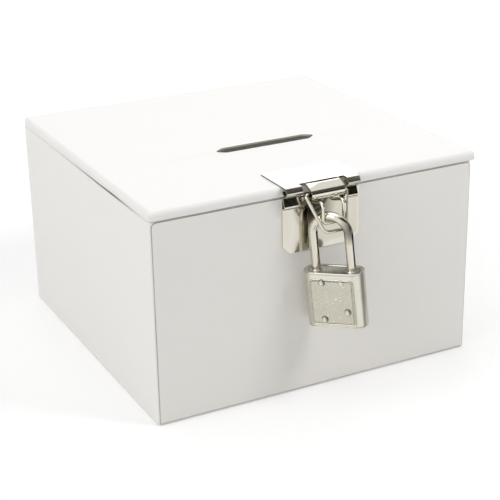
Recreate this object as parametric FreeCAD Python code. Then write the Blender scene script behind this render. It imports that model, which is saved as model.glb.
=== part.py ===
"""Donation box: a paper-covered board box with a slotted lid, a wire hasp and a padlock.

Sizes are in millimetres. The origin is at the middle of the base, +Z is up,
+X runs to the right along the front and +Y runs from the front to the hinge.
"""
import FreeCAD, Part
import math
import os

from FreeCAD import Placement, Rotation, Vector

# Driving sizes of the box
box_width = 200.0
box_depth = 200.0
wall_height = 118.0
board = 2.5
wrap = 0.4
facing = 0.5
facing_margin = 0.6
facing_corner = 3.0
lining = 0.3
lining_drop = 1.0
base_sheet = 0.5
base_sheet_inset = 2.0
wrap_lift = 0.2
corner_radius = 1.5

# Driving sizes of the lid and its hinge
lid_thickness = 5.0
lid_gap = 0.3
lid_edge_radius = 3.0
lid_rim_radius = 2.4
lid_overhang_left = 0.3
lid_overhang_right = 3.0
lid_overhang_front = 0.5
lid_lining_margin = 0.8
hinge_cloth = 0.4
hinge_wall_leaf = 18.0
hinge_lid_leaf = 2.4
hinge_leaf_gap = 0.8
hinge_end_margin = 4.0

# Driving sizes of the money slot
slot_length = 61.6
slot_width = 5.0
slot_taper = 5.0
slot_rim = 1.3
slot_rim_height = 0.6
slot_throat = 0.4
slot_from_front = 73.2
slot_offset = 5.4
clinch_ring_width = 4.0

# Driving sizes of the hasp
sheet = 0.8
hasp_offset = 0.4
plate_width = 47.8
lid_plate_depth = 24.0
base_plate_height = 32.9
base_plate_drop = 0.1
corner_cut = 4.5
roll_radius = 2.5
roll_gap = 0.2
tongue_length = 5.0
tongue_slope = 30.0
knuckle_radius = 3.2
wire = 1.9
wire_play = 0.08
notch_play = 0.35
roll_end_margin = 2.2
base_roll_width = 11.0
base_roll_height = 6.9
base_roll_nose = 1.7
base_roll_fold = 0.9
prong_width = 4.0
prong_fold = 3.0
prong_spread = 30.0
prong_from_edge = 11.0
backing_margin = 5.0
lid_backing_end = 1.4
bail_width = 25.5
bail_foot = 13.4
bail_below_staple = 4.3
bail_inner_bend = 0.3
bail_foot_bend = 4.2
bail_clearance = 0.5
staple_width = 12.8
staple_leg_below = 5.4
staple_rise = 3.6
staple_height = 12.0
staple_bend = 2.5
staple_foot_bend = 2.6
clinch_length = 5.0
clinch_inner_bend = 0.2

# Driving sizes of the padlock
lock_width = 33.6
lock_height = 32.4
lock_thickness = 13.4
lock_corner = 6.0
lock_plate = 1.0
lock_plate_rim = 0.35
lock_base_round = 0.8
lock_shell = 0.8
lock_face = 0.3
lock_face_margin = 4.0
lock_face_corner = 2.5
lock_face_border = 2.6
lock_face_foot = 1.0
lock_yaw = -50.6
lock_swing = -5.7
lock_offset = -1.6
lock_standoff = 0.4
shackle_wire = 5.0
shackle_spread = 20.4
shackle_clear = 27.9
shackle_play = 0.15
shackle_seat = 0.1
heel_floor = 1.0
heel_lip = 0.55
toe_depth = 6.5
toe_notch_depth = 1.1
release_travel = 7.5
notch_from_top = 0.9
notch_height = 4.1
bolt_height = 1.8
bolt_width = 4.0
bolt_length = 6.1
bolt_stroke = 4.4
bolt_play = 0.15
plug_radius = 3.5
plug_offset = 1.5
plug_play = 0.1
plug_from_top = 6.5
tang_width = 1.6
tang_reach = 2.6
tang_gap = 0.4
keyway_width = 1.2
keyway_depth = 5.0
pin_radius = 1.0
pin_count = 4
pin_pitch = 3.0
first_pin = 12.0
pin_chamber = 4.2
key_pin_recess = 0.2
driver_length = 1.7
driver_spring_play = 0.1
driver_spring_wire = 0.4
heel_pin_radius = 0.8
heel_flat = 0.9
rivet_shank = 1.0
rivet_head = 2.0
rivet_dome = 0.9
rivet_flush = 0.15
spring_length = 4.75
spring_play = 0.5
spring_wire = 0.7
upper_dome_rivets = ((-5.2, 5.6),)
lower_dome_rivets = ((-5.1, 5.5), (8.5, 10.3))
upper_flush_rivets = ((6.0, 5.5),)

# Angle within which an edge counts as running along an axis, in degrees
along_angle = 8.0
y_axis = Vector(0, 1, 0)
z_axis = Vector(0, 0, 1)

# Places that follow from the driving sizes
left = -box_width / 2
right = box_width / 2
front = -box_depth / 2
rear = box_depth / 2
wrap_front = front + facing
board_front = wrap_front + wrap
wall_inside = board_front + board
front_inside = wall_inside + lining
board_rear = rear - wrap
board_left = left + wrap
board_right = right - wrap
inside_left = board_left + board
inside_right = board_right - board
inside_rear = board_rear - board
floor_top = base_sheet + board
board_top = wall_height - wrap
lid_bottom = wall_height + lid_gap
lid_top = lid_bottom + lid_thickness
lid_front = front - lid_overhang_front
lid_left = left - lid_overhang_left
lid_right = right + lid_overhang_right
hinge_y = rear + hinge_cloth / 2
hinge_z = wall_height + lid_gap / 2
slot_y = front + slot_from_front
hasp_left = hasp_offset - plate_width / 2
hasp_right = hasp_offset + plate_width / 2
roll_right = hasp_right - roll_end_margin
plate_face = front - sheet
bore_radius = wire / 2 + wire_play
bail_bend = wire / 2 + bail_inner_bend
lid_roll_y = lid_front - roll_gap - roll_radius
lid_roll_z = lid_top + sheet - roll_radius
tongue_turn = math.radians(tongue_slope)
tongue_along = Vector(0, -math.cos(tongue_turn), -math.sin(tongue_turn))
tongue_outward = Vector(0, tongue_along.z, -tongue_along.y)
tongue_start = Vector(0, lid_roll_y, lid_top + sheet)
bail_axis = tongue_start + tongue_along * tongue_length - tongue_outward * knuckle_radius
base_plate_top = wall_height - base_plate_drop
base_plate_bottom = base_plate_top - base_plate_height
backing_inside = front_inside + sheet
lid_backing_bottom = lid_bottom - sheet
crown_radius = shackle_spread / 2
shackle_radius = shackle_wire / 2
lock_top = crown_radius - shackle_radius - shackle_clear
case_bottom = lock_plate - lock_height
heel_bottom = case_bottom + heel_floor
channel_bottom = -lock_plate - bolt_height - 2 * bolt_play
heel_depth = -heel_bottom - spring_length - shackle_play
heel_pin_from_top = heel_depth - heel_lip - release_travel - heel_pin_radius - shackle_play
dome_rivets = [(x, -drop) for x, drop in upper_dome_rivets]
dome_rivets += [(x, rise - lock_height) for x, rise in lower_dome_rivets]
flush_rivets = [(x, -drop) for x, drop in upper_flush_rivets]
lock_turn = Rotation(z_axis, lock_yaw) * Rotation(y_axis, lock_swing)


def box(x0, x1, y0, y1, z0, z1):
    """A plain block between two corners."""
    return Part.makeBox(x1 - x0, y1 - y0, z1 - z0, Vector(x0, y0, z0))


def rod(start, end, radius):
    """A round rod from one point to another."""
    along = end - start
    return Part.makeCylinder(radius, along.Length, start, along)


def prism(points, rise):
    """A closed outline of points, drawn out along a vector."""
    outline = Part.makePolygon(points + [points[0]])
    return Part.Face(outline).extrude(rise)


def round_block(width, depth, z0, z1, radius):
    """A block centred on the Z axis whose upright edges are rounded."""
    block = box(-width / 2, width / 2, -depth / 2, depth / 2, z0, z1)
    return round_upright(block, radius)


def edges_along(shape, axis):
    """The edges of a block that run along an axis."""
    least = math.cos(math.radians(along_angle))
    return [edge for edge in shape.Edges
            if abs(edge.tangentAt(edge.FirstParameter).dot(axis)) > least]


def round_upright(shape, radius):
    """Round every upright edge of a block."""
    return shape.makeFillet(radius, edges_along(shape, z_axis))


def bent_path(points, bends):
    """Straight runs through the points, with a tangent arc of its own radius at each inner point."""
    edges = []
    start = points[0]
    for before, corner, after, radius in zip(points, points[1:], points[2:], bends):
        back = (before - corner).normalize()
        ahead = (after - corner).normalize()
        half_angle = back.getAngle(ahead) / 2
        reach = radius / math.tan(half_angle)
        middle = (back + ahead).normalize()
        arc_start = corner + back * reach
        arc_end = corner + ahead * reach
        arc_middle = corner + middle * (radius / math.sin(half_angle) - radius)
        edges.append(Part.LineSegment(start, arc_start).toShape())
        edges.append(Part.Arc(arc_start, arc_middle, arc_end).toShape())
        start = arc_end
    edges.append(Part.LineSegment(start, points[-1]).toShape())
    return Part.Wire(edges)


def bent_wire(points, bends, diameter):
    """A round wire bent along straight runs and arcs."""
    path = bent_path(points, bends)
    section = Part.Wire(Part.makeCircle(diameter / 2, points[0], points[1] - points[0]))
    return path.makePipeShell([section], True, False)


def cut_all(shape, tools):
    """Cut every tool from a shape."""
    for tool in tools:
        shape = shape.cut(tool)
    return shape


# Cuts that several layers share

def prong_sides():
    """Left and right side of each prong across the plate."""
    centres = (hasp_offset - prong_spread / 2, hasp_offset + prong_spread / 2)
    return [(centre - prong_width / 2, centre + prong_width / 2) for centre in centres]


def wall_prong_cuts():
    """Slots where the base plate's prongs go through the front wall."""
    level = base_plate_bottom + prong_from_edge
    return [box(x0, x1, plate_face, backing_inside, level - sheet, level)
            for x0, x1 in prong_sides()]


def lid_prong_cuts():
    """Slots where the lid plate's prongs go through the lid."""
    place = lid_front + prong_from_edge
    return [box(x0, x1, place, place + sheet, lid_backing_bottom, lid_top + sheet)
            for x0, x1 in prong_sides()]


def staple_leg_z():
    """Height of the staple's legs where they go through the wall."""
    return base_plate_top - staple_leg_below


def staple_leg_cuts():
    """Holes for the staple's two legs."""
    level = staple_leg_z()
    return [rod(Vector(x, plate_face, level), Vector(x, backing_inside, level), wire / 2)
            for x in (hasp_offset - staple_width / 2, hasp_offset + staple_width / 2)]


def wall_cuts():
    """All cuts through the front wall's layers."""
    return wall_prong_cuts() + staple_leg_cuts()


def slot_outline(grow, z0, z1):
    """The slot's outline with tapered ends, grown outwards and drawn from z0 to z1."""
    half = slot_length / 2 + grow
    flat = half - slot_taper
    side = slot_width / 2 + grow
    outline = [(-half, 0), (-flat, -side), (flat, -side), (half, 0), (flat, side), (-flat, side)]
    points = [Vector(slot_offset + x, slot_y + y, z0) for x, y in outline]
    return prism(points, Vector(0, 0, z1 - z0))


# Box body

def between_sides(y0, y1, z0, z1):
    """A block that fills the width between the two side walls."""
    return box(inside_left, inside_right, y0, y1, z0, z1)


def bottom_board():
    """Floor board between the walls."""
    return between_sides(wall_inside, inside_rear, base_sheet, floor_top)


def front_board():
    """Front wall, with the hasp's slots and holes."""
    return cut_all(between_sides(board_front, wall_inside, base_sheet, board_top), wall_cuts())


def rear_board():
    """Rear wall, which carries the hinge."""
    return between_sides(inside_rear, board_rear, base_sheet, board_top)


def side_board(outer_x, inner_x, outside):
    """A side wall whose two outer upright edges follow the wrap's corners."""
    x0 = min(outer_x, inner_x)
    x1 = max(outer_x, inner_x)
    block = box(x0, x1, board_front, board_rear, base_sheet, board_top)
    outer = [edge for edge in edges_along(block, z_axis)
             if edge.CenterOfMass.x * outside > abs(inner_x)]
    return block.makeFillet(corner_radius - wrap, outer)


def left_board():
    """Left wall."""
    return side_board(board_left, inside_left, -1)


def right_board():
    """Right wall."""
    return side_board(board_right, inside_right, 1)


def outer_wrap():
    """Paper around the four walls, turned over their top edges."""
    outside = round_upright(box(left, right, wrap_front, rear, wrap_lift, wall_height), corner_radius)
    boards = box(board_left, board_right, board_front, board_rear, 0, board_top)
    boards = round_upright(boards, corner_radius - wrap)
    mouth = between_sides(wall_inside, inside_rear, 0, wall_height)
    return cut_all(outside, [boards, mouth] + wall_cuts())


def front_facing():
    """Covered card on the front, with rounded top corners."""
    sheet_block = box(left + facing_margin, right - facing_margin, front, wrap_front,
                      wrap_lift + facing_margin, wall_height - facing_margin)
    top_ends = [edge for edge in edges_along(sheet_block, y_axis)
                if edge.CenterOfMass.z > wall_height / 2]
    return cut_all(sheet_block.makeFillet(facing_corner, top_ends), wall_cuts())


def under_sheet():
    """Sheet under the base, on which the box stands."""
    return box(board_left + base_sheet_inset, board_right - base_sheet_inset,
               board_front + base_sheet_inset, board_rear - base_sheet_inset, 0, base_sheet)


def inner_lining():
    """Paper on the inside of the walls and floor."""
    top = board_top - lining_drop
    outside = between_sides(wall_inside, inside_rear, floor_top, top)
    inside = box(inside_left + lining, inside_right - lining, front_inside, inside_rear - lining,
                 floor_top + lining, top)
    return cut_all(outside.cut(inside), wall_cuts())


def hinge_leaf(z0, z1):
    """A strip of the hinge's cloth on the rear."""
    return box(left + hinge_end_margin, right - hinge_end_margin, rear, rear + hinge_cloth, z0, z1)


def hinge_leaf_wall():
    """Cloth of the hinge on the rear wall."""
    top = wall_height - hinge_leaf_gap
    return hinge_leaf(top - hinge_wall_leaf, top)


# Lid

def lid_core(shrink, z0, z1):
    """A block of the lid's outline, shrunk on every side."""
    return box(lid_left + shrink, lid_right - shrink, lid_front + shrink, rear - shrink, z0, z1)


def lid_cuts():
    """The slot and the prongs' cuts, through every layer of the lid."""
    return [slot_outline(slot_throat, lid_bottom, lid_top)] + lid_prong_cuts()


def soft_lid(shrink, z0):
    """A block of the lid's outline with soft corners and a soft upper edge, shrunk above and on its sides."""
    top = lid_top - shrink
    block = round_upright(lid_core(shrink, z0, top), lid_edge_radius - shrink)
    rim = [edge for edge in block.Edges if edge.BoundBox.ZMin > top - shrink - lining]
    return block.makeFillet(lid_rim_radius - shrink, rim)


def lid_board():
    """Board inside the lid."""
    return cut_all(soft_lid(wrap, lid_bottom + lining), lid_cuts())


def lid_wrap():
    """Paper over the top and edges of the lid."""
    return cut_all(soft_lid(0, lid_bottom + lining), [soft_lid(wrap, lid_bottom)] + lid_cuts())


def lid_lining():
    """Paper under the lid."""
    return cut_all(lid_core(lid_lining_margin, lid_bottom, lid_bottom + lining), lid_cuts())


def slot_bezel():
    """Nickel rim on the lid with a throat that goes through it."""
    rim = slot_outline(slot_rim, lid_top, lid_top + slot_rim_height)
    throat = slot_outline(slot_throat, lid_bottom - sheet, lid_top)
    clear = slot_outline(0, lid_bottom - sheet, lid_top + slot_rim_height)
    return rim.fuse(throat).cut(clear).removeSplitter()


def slot_clinch_ring():
    """Ring under the lid that the throat is spread against."""
    ring = slot_outline(clinch_ring_width, lid_bottom - sheet, lid_bottom)
    return ring.cut(slot_outline(slot_throat, lid_bottom - sheet, lid_bottom))


def hinge_leaf_lid():
    """Cloth of the hinge on the lid's rear edge."""
    low = lid_bottom + hinge_leaf_gap
    return hinge_leaf(low, low + hinge_lid_leaf)


# Hasp

def cross_rod(x0, x1, y, z, radius):
    """A rod along X."""
    return rod(Vector(x0, y, z), Vector(x1, y, z), radius)


def lid_neck(x0, x1):
    """The lid plate's sheet from the lid's front edge to the middle of a roll."""
    return box(x0, x1, lid_roll_y, lid_front, lid_top, lid_top + sheet)


def lid_end_roll(x0, x1):
    """A hollow roll at one end of the lid plate's front edge."""
    tube = cross_rod(x0, x1, lid_roll_y, lid_roll_z, roll_radius)
    hollow = cross_rod(x0, x1, lid_roll_y, lid_roll_z, roll_radius - sheet)
    return lid_neck(x0, x1).fuse(tube).cut(hollow)


def lid_knuckle(x0, x1):
    """Middle of the lid plate's front edge: a tongue that slopes down to the bail's knuckle."""
    start = tongue_start + Vector(x0, 0, 0)
    end = start + tongue_along * tongue_length
    tongue = prism([start, end, end - tongue_outward * sheet, start - tongue_outward * sheet],
                   Vector(x1 - x0, 0, 0))
    barrel = cross_rod(x0, x1, bail_axis.y, bail_axis.z, knuckle_radius)
    bore = cross_rod(x0, x1, bail_axis.y, bail_axis.z, bore_radius)
    return lid_neck(x0, x1).fuse([tongue, barrel]).cut(bore)


def lid_plate():
    """Plate on the lid with a roll at each end of its front edge, a knuckle between them, and prongs."""
    plate = box(hasp_left, hasp_right, lid_front, lid_front + lid_plate_depth, lid_top, lid_top + sheet)
    inner = bail_width / 2 - bail_bend - wire / 2 - notch_play
    outer = bail_width / 2 + wire / 2 + notch_play
    plate = plate.fuse([lid_end_roll(hasp_left, hasp_offset - outer),
                        lid_knuckle(hasp_offset - inner, hasp_offset + inner),
                        lid_end_roll(hasp_offset + outer, roll_right)])
    place = lid_front + prong_from_edge
    low = lid_backing_bottom - sheet
    for x0, x1 in prong_sides():
        shank = box(x0, x1, place, place + sheet, low, lid_top)
        fold = box(x0, x1, place, place + prong_fold, low, lid_backing_bottom)
        plate = plate.fuse([shank, fold])
    return plate.removeSplitter()


def lid_backing_plate():
    """Plate under the lid that the prongs are folded against."""
    y0 = lid_front + backing_margin + (front_inside - front)
    y1 = lid_front + lid_plate_depth - lid_backing_end
    block = box(hasp_left + backing_margin, hasp_right - backing_margin, y0, y1,
                lid_backing_bottom, lid_bottom)
    return cut_all(block, lid_prong_cuts())


def base_roll(x0, x1, wall):
    """The base plate's top edge, folded over to the front and down to a round nose, inside a wall."""
    nose = base_roll_nose - wall
    fold = base_roll_fold - wall
    nose_middle = Vector(x0, front - base_roll_nose, base_plate_top - base_roll_height + base_roll_nose)
    fold_middle = Vector(x0, front - base_roll_fold, base_plate_top - base_roll_fold)
    lean = 2 * math.atan2(base_roll_nose - base_roll_fold, fold_middle.z - nose_middle.z)
    outward = Vector(0, -math.cos(lean), math.sin(lean))
    nose_front = nose_middle + outward * nose
    nose_back = nose_middle + y_axis * nose
    fold_front = fold_middle + outward * fold
    fold_back = fold_middle + y_axis * fold
    edges = [Part.LineSegment(nose_front, fold_front),
             Part.Arc(fold_front, fold_middle + z_axis * fold, fold_back),
             Part.LineSegment(fold_back, nose_back),
             Part.Arc(nose_back, nose_middle - z_axis * nose, nose_front)]
    outline = Part.Wire([edge.toShape() for edge in edges])
    return Part.Face(outline).extrude(Vector(x1 - x0, 0, 0))


def base_plate():
    """Plate on the front with a folded roll at each top end, cut bottom corners and prongs."""
    low = base_plate_bottom
    shoulder = low + corner_cut
    top = base_plate_top - base_roll_fold
    roll_end_left = hasp_left + base_roll_width
    roll_end_right = hasp_right - base_roll_width
    outline = [(hasp_left, top), (hasp_left, shoulder), (hasp_left + corner_cut, low),
               (hasp_right - corner_cut, low), (hasp_right, shoulder), (hasp_right, top)]
    points = [Vector(x, plate_face, z) for x, z in outline]
    plate = prism(points, Vector(0, sheet, 0))
    middle = box(roll_end_left, roll_end_right, plate_face, front, shoulder, base_plate_top)
    plate = plate.fuse(middle)
    for x0, x1 in ((hasp_left, roll_end_left), (roll_end_right, roll_right)):
        plate = plate.fuse(base_roll(x0, x1, 0)).cut(base_roll(x0, x1, sheet))
    plate = cut_all(plate, staple_leg_cuts())
    level = base_plate_bottom + prong_from_edge
    deep = backing_inside + sheet
    for x0, x1 in prong_sides():
        shank = box(x0, x1, front, deep, level - sheet, level)
        fold = box(x0, x1, backing_inside, deep, level - prong_fold, level)
        plate = plate.fuse([shank, fold])
    return plate.removeSplitter()


def base_backing_plate():
    """Plate inside the front wall that the prongs and the staple are turned over."""
    block = box(hasp_left + backing_margin, hasp_right - backing_margin, front_inside, backing_inside,
                base_plate_bottom + backing_margin, staple_leg_z() + wire)
    return cut_all(block, wall_cuts())


def bail_foot_y():
    """The bail's foot passes just in front of the staple."""
    return lock_centre().y - wire - bail_clearance


def bail_wire():
    """A bar in the knuckle, two legs that close in and a flat foot; the wire's ends meet in the knuckle."""
    half = bail_width / 2
    foot = bail_foot / 2
    foot_y = bail_foot_y()
    foot_z = staple_foot_z() - bail_below_staple
    seam = wire_play
    points = [Vector(hasp_offset + x, y, z) for x, y, z in (
        (-seam, bail_axis.y, bail_axis.z),
        (-half, bail_axis.y, bail_axis.z),
        (-foot, foot_y, foot_z),
        (foot, foot_y, foot_z),
        (half, bail_axis.y, bail_axis.z),
        (seam, bail_axis.y, bail_axis.z))]
    return bent_wire(points, [bail_bend, bail_foot_bend, bail_foot_bend, bail_bend], wire)


def staple_foot_z():
    """Height of the staple's foot, which carries the padlock."""
    return staple_leg_z() + staple_rise - staple_height


def staple_wire():
    """Wire eye: two legs through the wall, out and up, then down to a rounded foot."""
    half = staple_width / 2
    inside_y = backing_inside + wire / 2
    leg_z = staple_leg_z()
    out_y = lock_centre().y
    top_z = leg_z + staple_rise
    foot_z = staple_foot_z()
    one_side = [(inside_y, leg_z - clinch_length), (inside_y, leg_z), (plate_face - wire, leg_z),
                (out_y, top_z), (out_y, foot_z)]
    points = [Vector(hasp_offset - half, y, z) for y, z in one_side]
    points += [Vector(hasp_offset + half, y, z) for y, z in reversed(one_side)]
    bends = [wire / 2 + clinch_inner_bend, staple_bend, staple_bend, staple_foot_bend]
    return bent_wire(points, bends + bends[::-1], wire)


# Padlock, drawn upright with the middle of the shackle's crown at the origin

def lock_reach():
    """How far the turned padlock reaches towards the front wall from its crown's middle."""
    outline = round_block(lock_width + 2 * lock_plate_rim, lock_thickness + 2 * lock_plate_rim,
                          lock_top - lock_height, lock_top, lock_corner + lock_plate_rim)
    outline.Placement = Placement(Vector(), lock_turn)
    return outline.optimalBoundingBox().YMax


def lock_centre():
    """Middle of the shackle's crown: the case stands just off the wall and the crown sits on the staple."""
    y = front - lock_standoff - lock_reach()
    z = staple_foot_z() + wire / 2 + shackle_seat + shackle_radius - crown_radius
    return Vector(hasp_offset + lock_offset, y, z)


def placed(shape):
    """Move a padlock piece from its drawing place to where it hangs."""
    hung = shape.copy()
    hung.Placement = Placement(lock_centre(), lock_turn).multiply(hung.Placement)
    return hung


def lock_oval(shrink, z0, z1):
    """A piece of the case's round-ended section."""
    return round_block(lock_width - 2 * shrink, lock_thickness - 2 * shrink,
                       lock_top + z0, lock_top + z1, lock_corner - shrink)


def upright_rod(x, z0, z1, radius):
    """A rod along the padlock's height, with heights counted from the case's top."""
    return rod(Vector(x, 0, lock_top + z0), Vector(x, 0, lock_top + z1), radius)


def across_rod(x0, x1, z, radius):
    """A rod along the padlock's width."""
    return rod(Vector(x0, 0, lock_top + z), Vector(x1, 0, lock_top + z), radius)


def through_rod(x, z, y0, y1, radius):
    """A rod through the padlock's thickness."""
    return rod(Vector(x, y0, lock_top + z), Vector(x, y1, lock_top + z), radius)


def lock_block(x0, x1, half_width, z0, z1):
    """A block centred on the padlock's middle plane."""
    return box(x0, x1, -half_width, half_width, lock_top + z0, lock_top + z1)


def shackle_bores():
    """Holes for the heel and the toe of the shackle."""
    radius = shackle_radius + shackle_play
    heel = upright_rod(-crown_radius, heel_bottom, 0, radius)
    toe = upright_rod(crown_radius, -toe_depth - shackle_play, 0, radius)
    return [heel, toe]


def rivet_holes():
    """Holes for the shanks of the face rivets."""
    half = lock_thickness / 2
    return [through_rod(x, z, -half - lock_face, half + lock_face, rivet_shank)
            for x, z in dome_rivets + flush_rivets]


def pin_levels():
    """Heights of the pin chambers, counted from the case's top."""
    return [-first_pin - row * pin_pitch for row in range(pin_count)]


def shackle():
    """Bent rod with a long heel and a short toe, notched for the bolt and flattened for the heel pin."""
    heel_end = Vector(-crown_radius, 0, lock_top - heel_depth)
    toe_end = Vector(crown_radius, 0, lock_top - toe_depth)
    left_top = Vector(-crown_radius, 0, 0)
    right_top = Vector(crown_radius, 0, 0)
    crown = Part.Arc(left_top, Vector(0, 0, crown_radius), right_top)
    path = Part.Wire([Part.LineSegment(heel_end, left_top).toShape(), crown.toShape(),
                      Part.LineSegment(right_top, toe_end).toShape()])
    section = Part.Wire(Part.makeCircle(shackle_radius, heel_end, Vector(0, 0, 1)))
    bar = path.makePipeShell([section], True, False)
    toe_face = crown_radius - shackle_radius
    notch = lock_block(toe_face - shackle_play, toe_face + toe_notch_depth, shackle_wire,
                       -notch_from_top - notch_height, -notch_from_top)
    heel_face = shackle_radius - crown_radius
    flat_top = -heel_pin_from_top + heel_pin_radius + shackle_play
    flat_low = -heel_pin_from_top - release_travel - heel_pin_radius - shackle_play
    flat = lock_block(heel_face - heel_flat, heel_face + shackle_play, shackle_wire, flat_low, flat_top)
    return placed(cut_all(bar, [notch, flat]))


def lock_case():
    """Drawn sheet sleeve around the core."""
    sleeve = lock_oval(0, case_bottom, -lock_plate)
    inside = lock_oval(lock_shell, case_bottom, -lock_plate)
    return placed(cut_all(sleeve.cut(inside), rivet_holes()))


def lock_top_plate():
    """Top plate with a rim that stands out past the sleeve."""
    plate = lock_oval(-lock_plate_rim, -lock_plate, 0)
    return placed(cut_all(plate, shackle_bores()))


def lock_bottom_plate():
    """Bottom plate with a rounded lower edge and a hole for the plug."""
    plate = lock_oval(0, -lock_height, case_bottom)
    foot = [edge for edge in plate.Edges if edge.BoundBox.ZMax < lock_top + case_bottom - lock_plate / 2]
    plate = plate.makeFillet(lock_base_round, foot)
    hole = upright_rod(plug_offset, -lock_height, case_bottom, plug_radius + plug_play)
    return placed(plate.cut(hole))


def lock_face_plate(side):
    """Thin face plate with rounded corners on one flat of the case."""
    width = lock_width - 2 * lock_face_margin
    low = lock_top + case_bottom + lock_face_foot
    high = lock_top - lock_plate - lock_face_border
    near = side * lock_thickness / 2
    far = near + side * lock_face
    plate = box(-width / 2, width / 2, min(near, far), max(near, far), low, high)
    plate = plate.makeFillet(lock_face_corner, edges_along(plate, y_axis))
    return placed(cut_all(plate, rivet_holes()))


def lock_face_front():
    """Face plate that looks to the front."""
    return lock_face_plate(-1)


def lock_face_rear():
    """Face plate that looks to the rear."""
    return lock_face_plate(1)


def dome_head(x, z, side):
    """Domed rivet head on one face."""
    ball = (rivet_head ** 2 + rivet_dome ** 2) / (2 * rivet_dome)
    seat = side * (lock_thickness / 2 + lock_face)
    centre = Vector(x, seat - side * (ball - rivet_dome), lock_top + z)
    keep = through_rod(x, z, seat, seat + side * rivet_dome, rivet_head)
    return Part.makeSphere(ball, centre).common(keep)


def flat_head(x, z, side, height):
    """Low round rivet head on one face."""
    seat = side * (lock_thickness / 2 + lock_face)
    return through_rod(x, z, seat, seat + side * height, rivet_head)


def lock_rivets():
    """Through rivets that hold the faces: domed heads, and flush ones."""
    half = lock_thickness / 2 + lock_face
    rivets = []
    for x, z in dome_rivets + flush_rivets:
        shank = through_rod(x, z, -half, half, rivet_shank)
        domed = (x, z) in dome_rivets
        front_head = dome_head(x, z, -1) if domed else flat_head(x, z, -1, rivet_flush)
        rivets.append(shank.fuse([front_head, flat_head(x, z, 1, rivet_flush)]).removeSplitter())
    return placed(Part.makeCompound(rivets))


def lock_core():
    """Solid core bored for the shackle, plug, pins, bolt and rivets."""
    core = lock_oval(lock_shell, case_bottom, -lock_plate)
    plug_bore = upright_rod(plug_offset, -lock_height, plug_play - plug_from_top, plug_radius + plug_play)
    tang_room = upright_rod(plug_offset, -plug_from_top, channel_bottom, tang_reach + 2 * plug_play)
    channel = lock_block(bolt_back() - bolt_stroke - bolt_play, crown_radius, bolt_width / 2 + bolt_play,
                         channel_bottom, -lock_plate)
    chamber_start = plug_offset - plug_radius
    chambers = [across_rod(chamber_start - pin_chamber, chamber_start + pin_radius, level, pin_radius)
                for level in pin_levels()]
    cuts = shackle_bores() + rivet_holes() + [plug_bore, tang_room, channel, heel_pin_rod()] + chambers
    return placed(cut_all(core, cuts))


def heel_pin_rod():
    """Round pin across the core beside the heel's flat."""
    half = lock_thickness / 2 - lock_shell
    return through_rod(shackle_radius - crown_radius, -heel_pin_from_top, -half, half, heel_pin_radius)


def heel_pin():
    """Pin that keeps the heel in the case."""
    return placed(heel_pin_rod())


def shackle_spring():
    """Spring under the heel, drawn as a plain tube."""
    outer = shackle_radius - spring_play
    tube = upright_rod(-crown_radius, heel_bottom, -heel_depth - shackle_play, outer)
    hole = upright_rod(-crown_radius, heel_bottom, -heel_depth, outer - spring_wire)
    return placed(tube.cut(hole))


def driver_start():
    """Where the driver pins begin, just outside the plug's bore."""
    return plug_offset - plug_radius - 2 * plug_play


def driver_pins():
    """Pins outside the plug that the springs push on."""
    end = driver_start()
    pins = [across_rod(end - driver_length, end, level, pin_radius) for level in pin_levels()]
    return placed(Part.makeCompound(pins))


def driver_springs():
    """Springs behind the driver pins, drawn as plain tubes."""
    end = plug_offset - plug_radius - pin_chamber
    start = driver_start() - driver_length
    outer = pin_radius - driver_spring_play
    inner = outer - driver_spring_wire
    springs = [across_rod(end, start, level, outer).cut(across_rod(end, start, level, inner))
               for level in pin_levels()]
    return placed(Part.makeCompound(springs))


def keyway():
    """Slot for the key, up the plug from its lower face."""
    x0 = plug_offset - keyway_depth / 2 + plug_play
    high = pin_levels()[0] + pin_pitch
    return lock_block(x0, x0 + keyway_depth, keyway_width / 2, -lock_height, high)


def key_pin_rods(radius, extra):
    """Pins from near the plug's skin to the keyway."""
    start = plug_offset - plug_radius + key_pin_recess
    end = plug_offset - keyway_depth / 2 + pin_radius
    return [across_rod(start - extra, end, level, radius) for level in pin_levels()]


def lock_plug():
    """Turning plug with a keyway, pin holes and a tang that works the bolt."""
    plug = upright_rod(plug_offset, -lock_height, -plug_from_top, plug_radius)
    tang = lock_block(plug_offset - tang_reach, plug_offset + tang_reach, tang_width / 2,
                      -plug_from_top, channel_bottom - tang_gap)
    return placed(cut_all(plug.fuse(tang), [keyway()] + key_pin_rods(pin_radius, pin_radius)))


def key_pins():
    """Pins inside the plug that rest on the key."""
    return placed(Part.makeCompound(key_pin_rods(pin_radius, 0)))


def bolt_tip():
    """The bolt's tip at rest, inside the toe's notch."""
    return crown_radius - shackle_radius + toe_notch_depth - bolt_play


def bolt_back():
    """The bolt's rear end at rest."""
    return bolt_tip() - bolt_length


def locking_bolt():
    """Sliding bolt whose tip holds the toe of the shackle."""
    high = -lock_plate - bolt_play
    return placed(lock_block(bolt_back(), bolt_tip(), bolt_width / 2, high - bolt_height, high))


box_pieces = (
    bottom_board, front_board, rear_board, left_board, right_board, outer_wrap, front_facing,
    under_sheet, inner_lining, hinge_leaf_wall, base_plate, base_backing_plate, staple_wire)
lid_pieces = (
    lid_board, lid_wrap, lid_lining, slot_bezel, slot_clinch_ring, hinge_leaf_lid,
    lid_plate, lid_backing_plate, bail_wire)
padlock_pieces = (
    shackle, lock_case, lock_top_plate, lock_bottom_plate, lock_face_front, lock_face_rear,
    lock_rivets, lock_core, heel_pin, shackle_spring, driver_pins, driver_springs,
    lock_plug, key_pins, locking_bolt)

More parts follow.
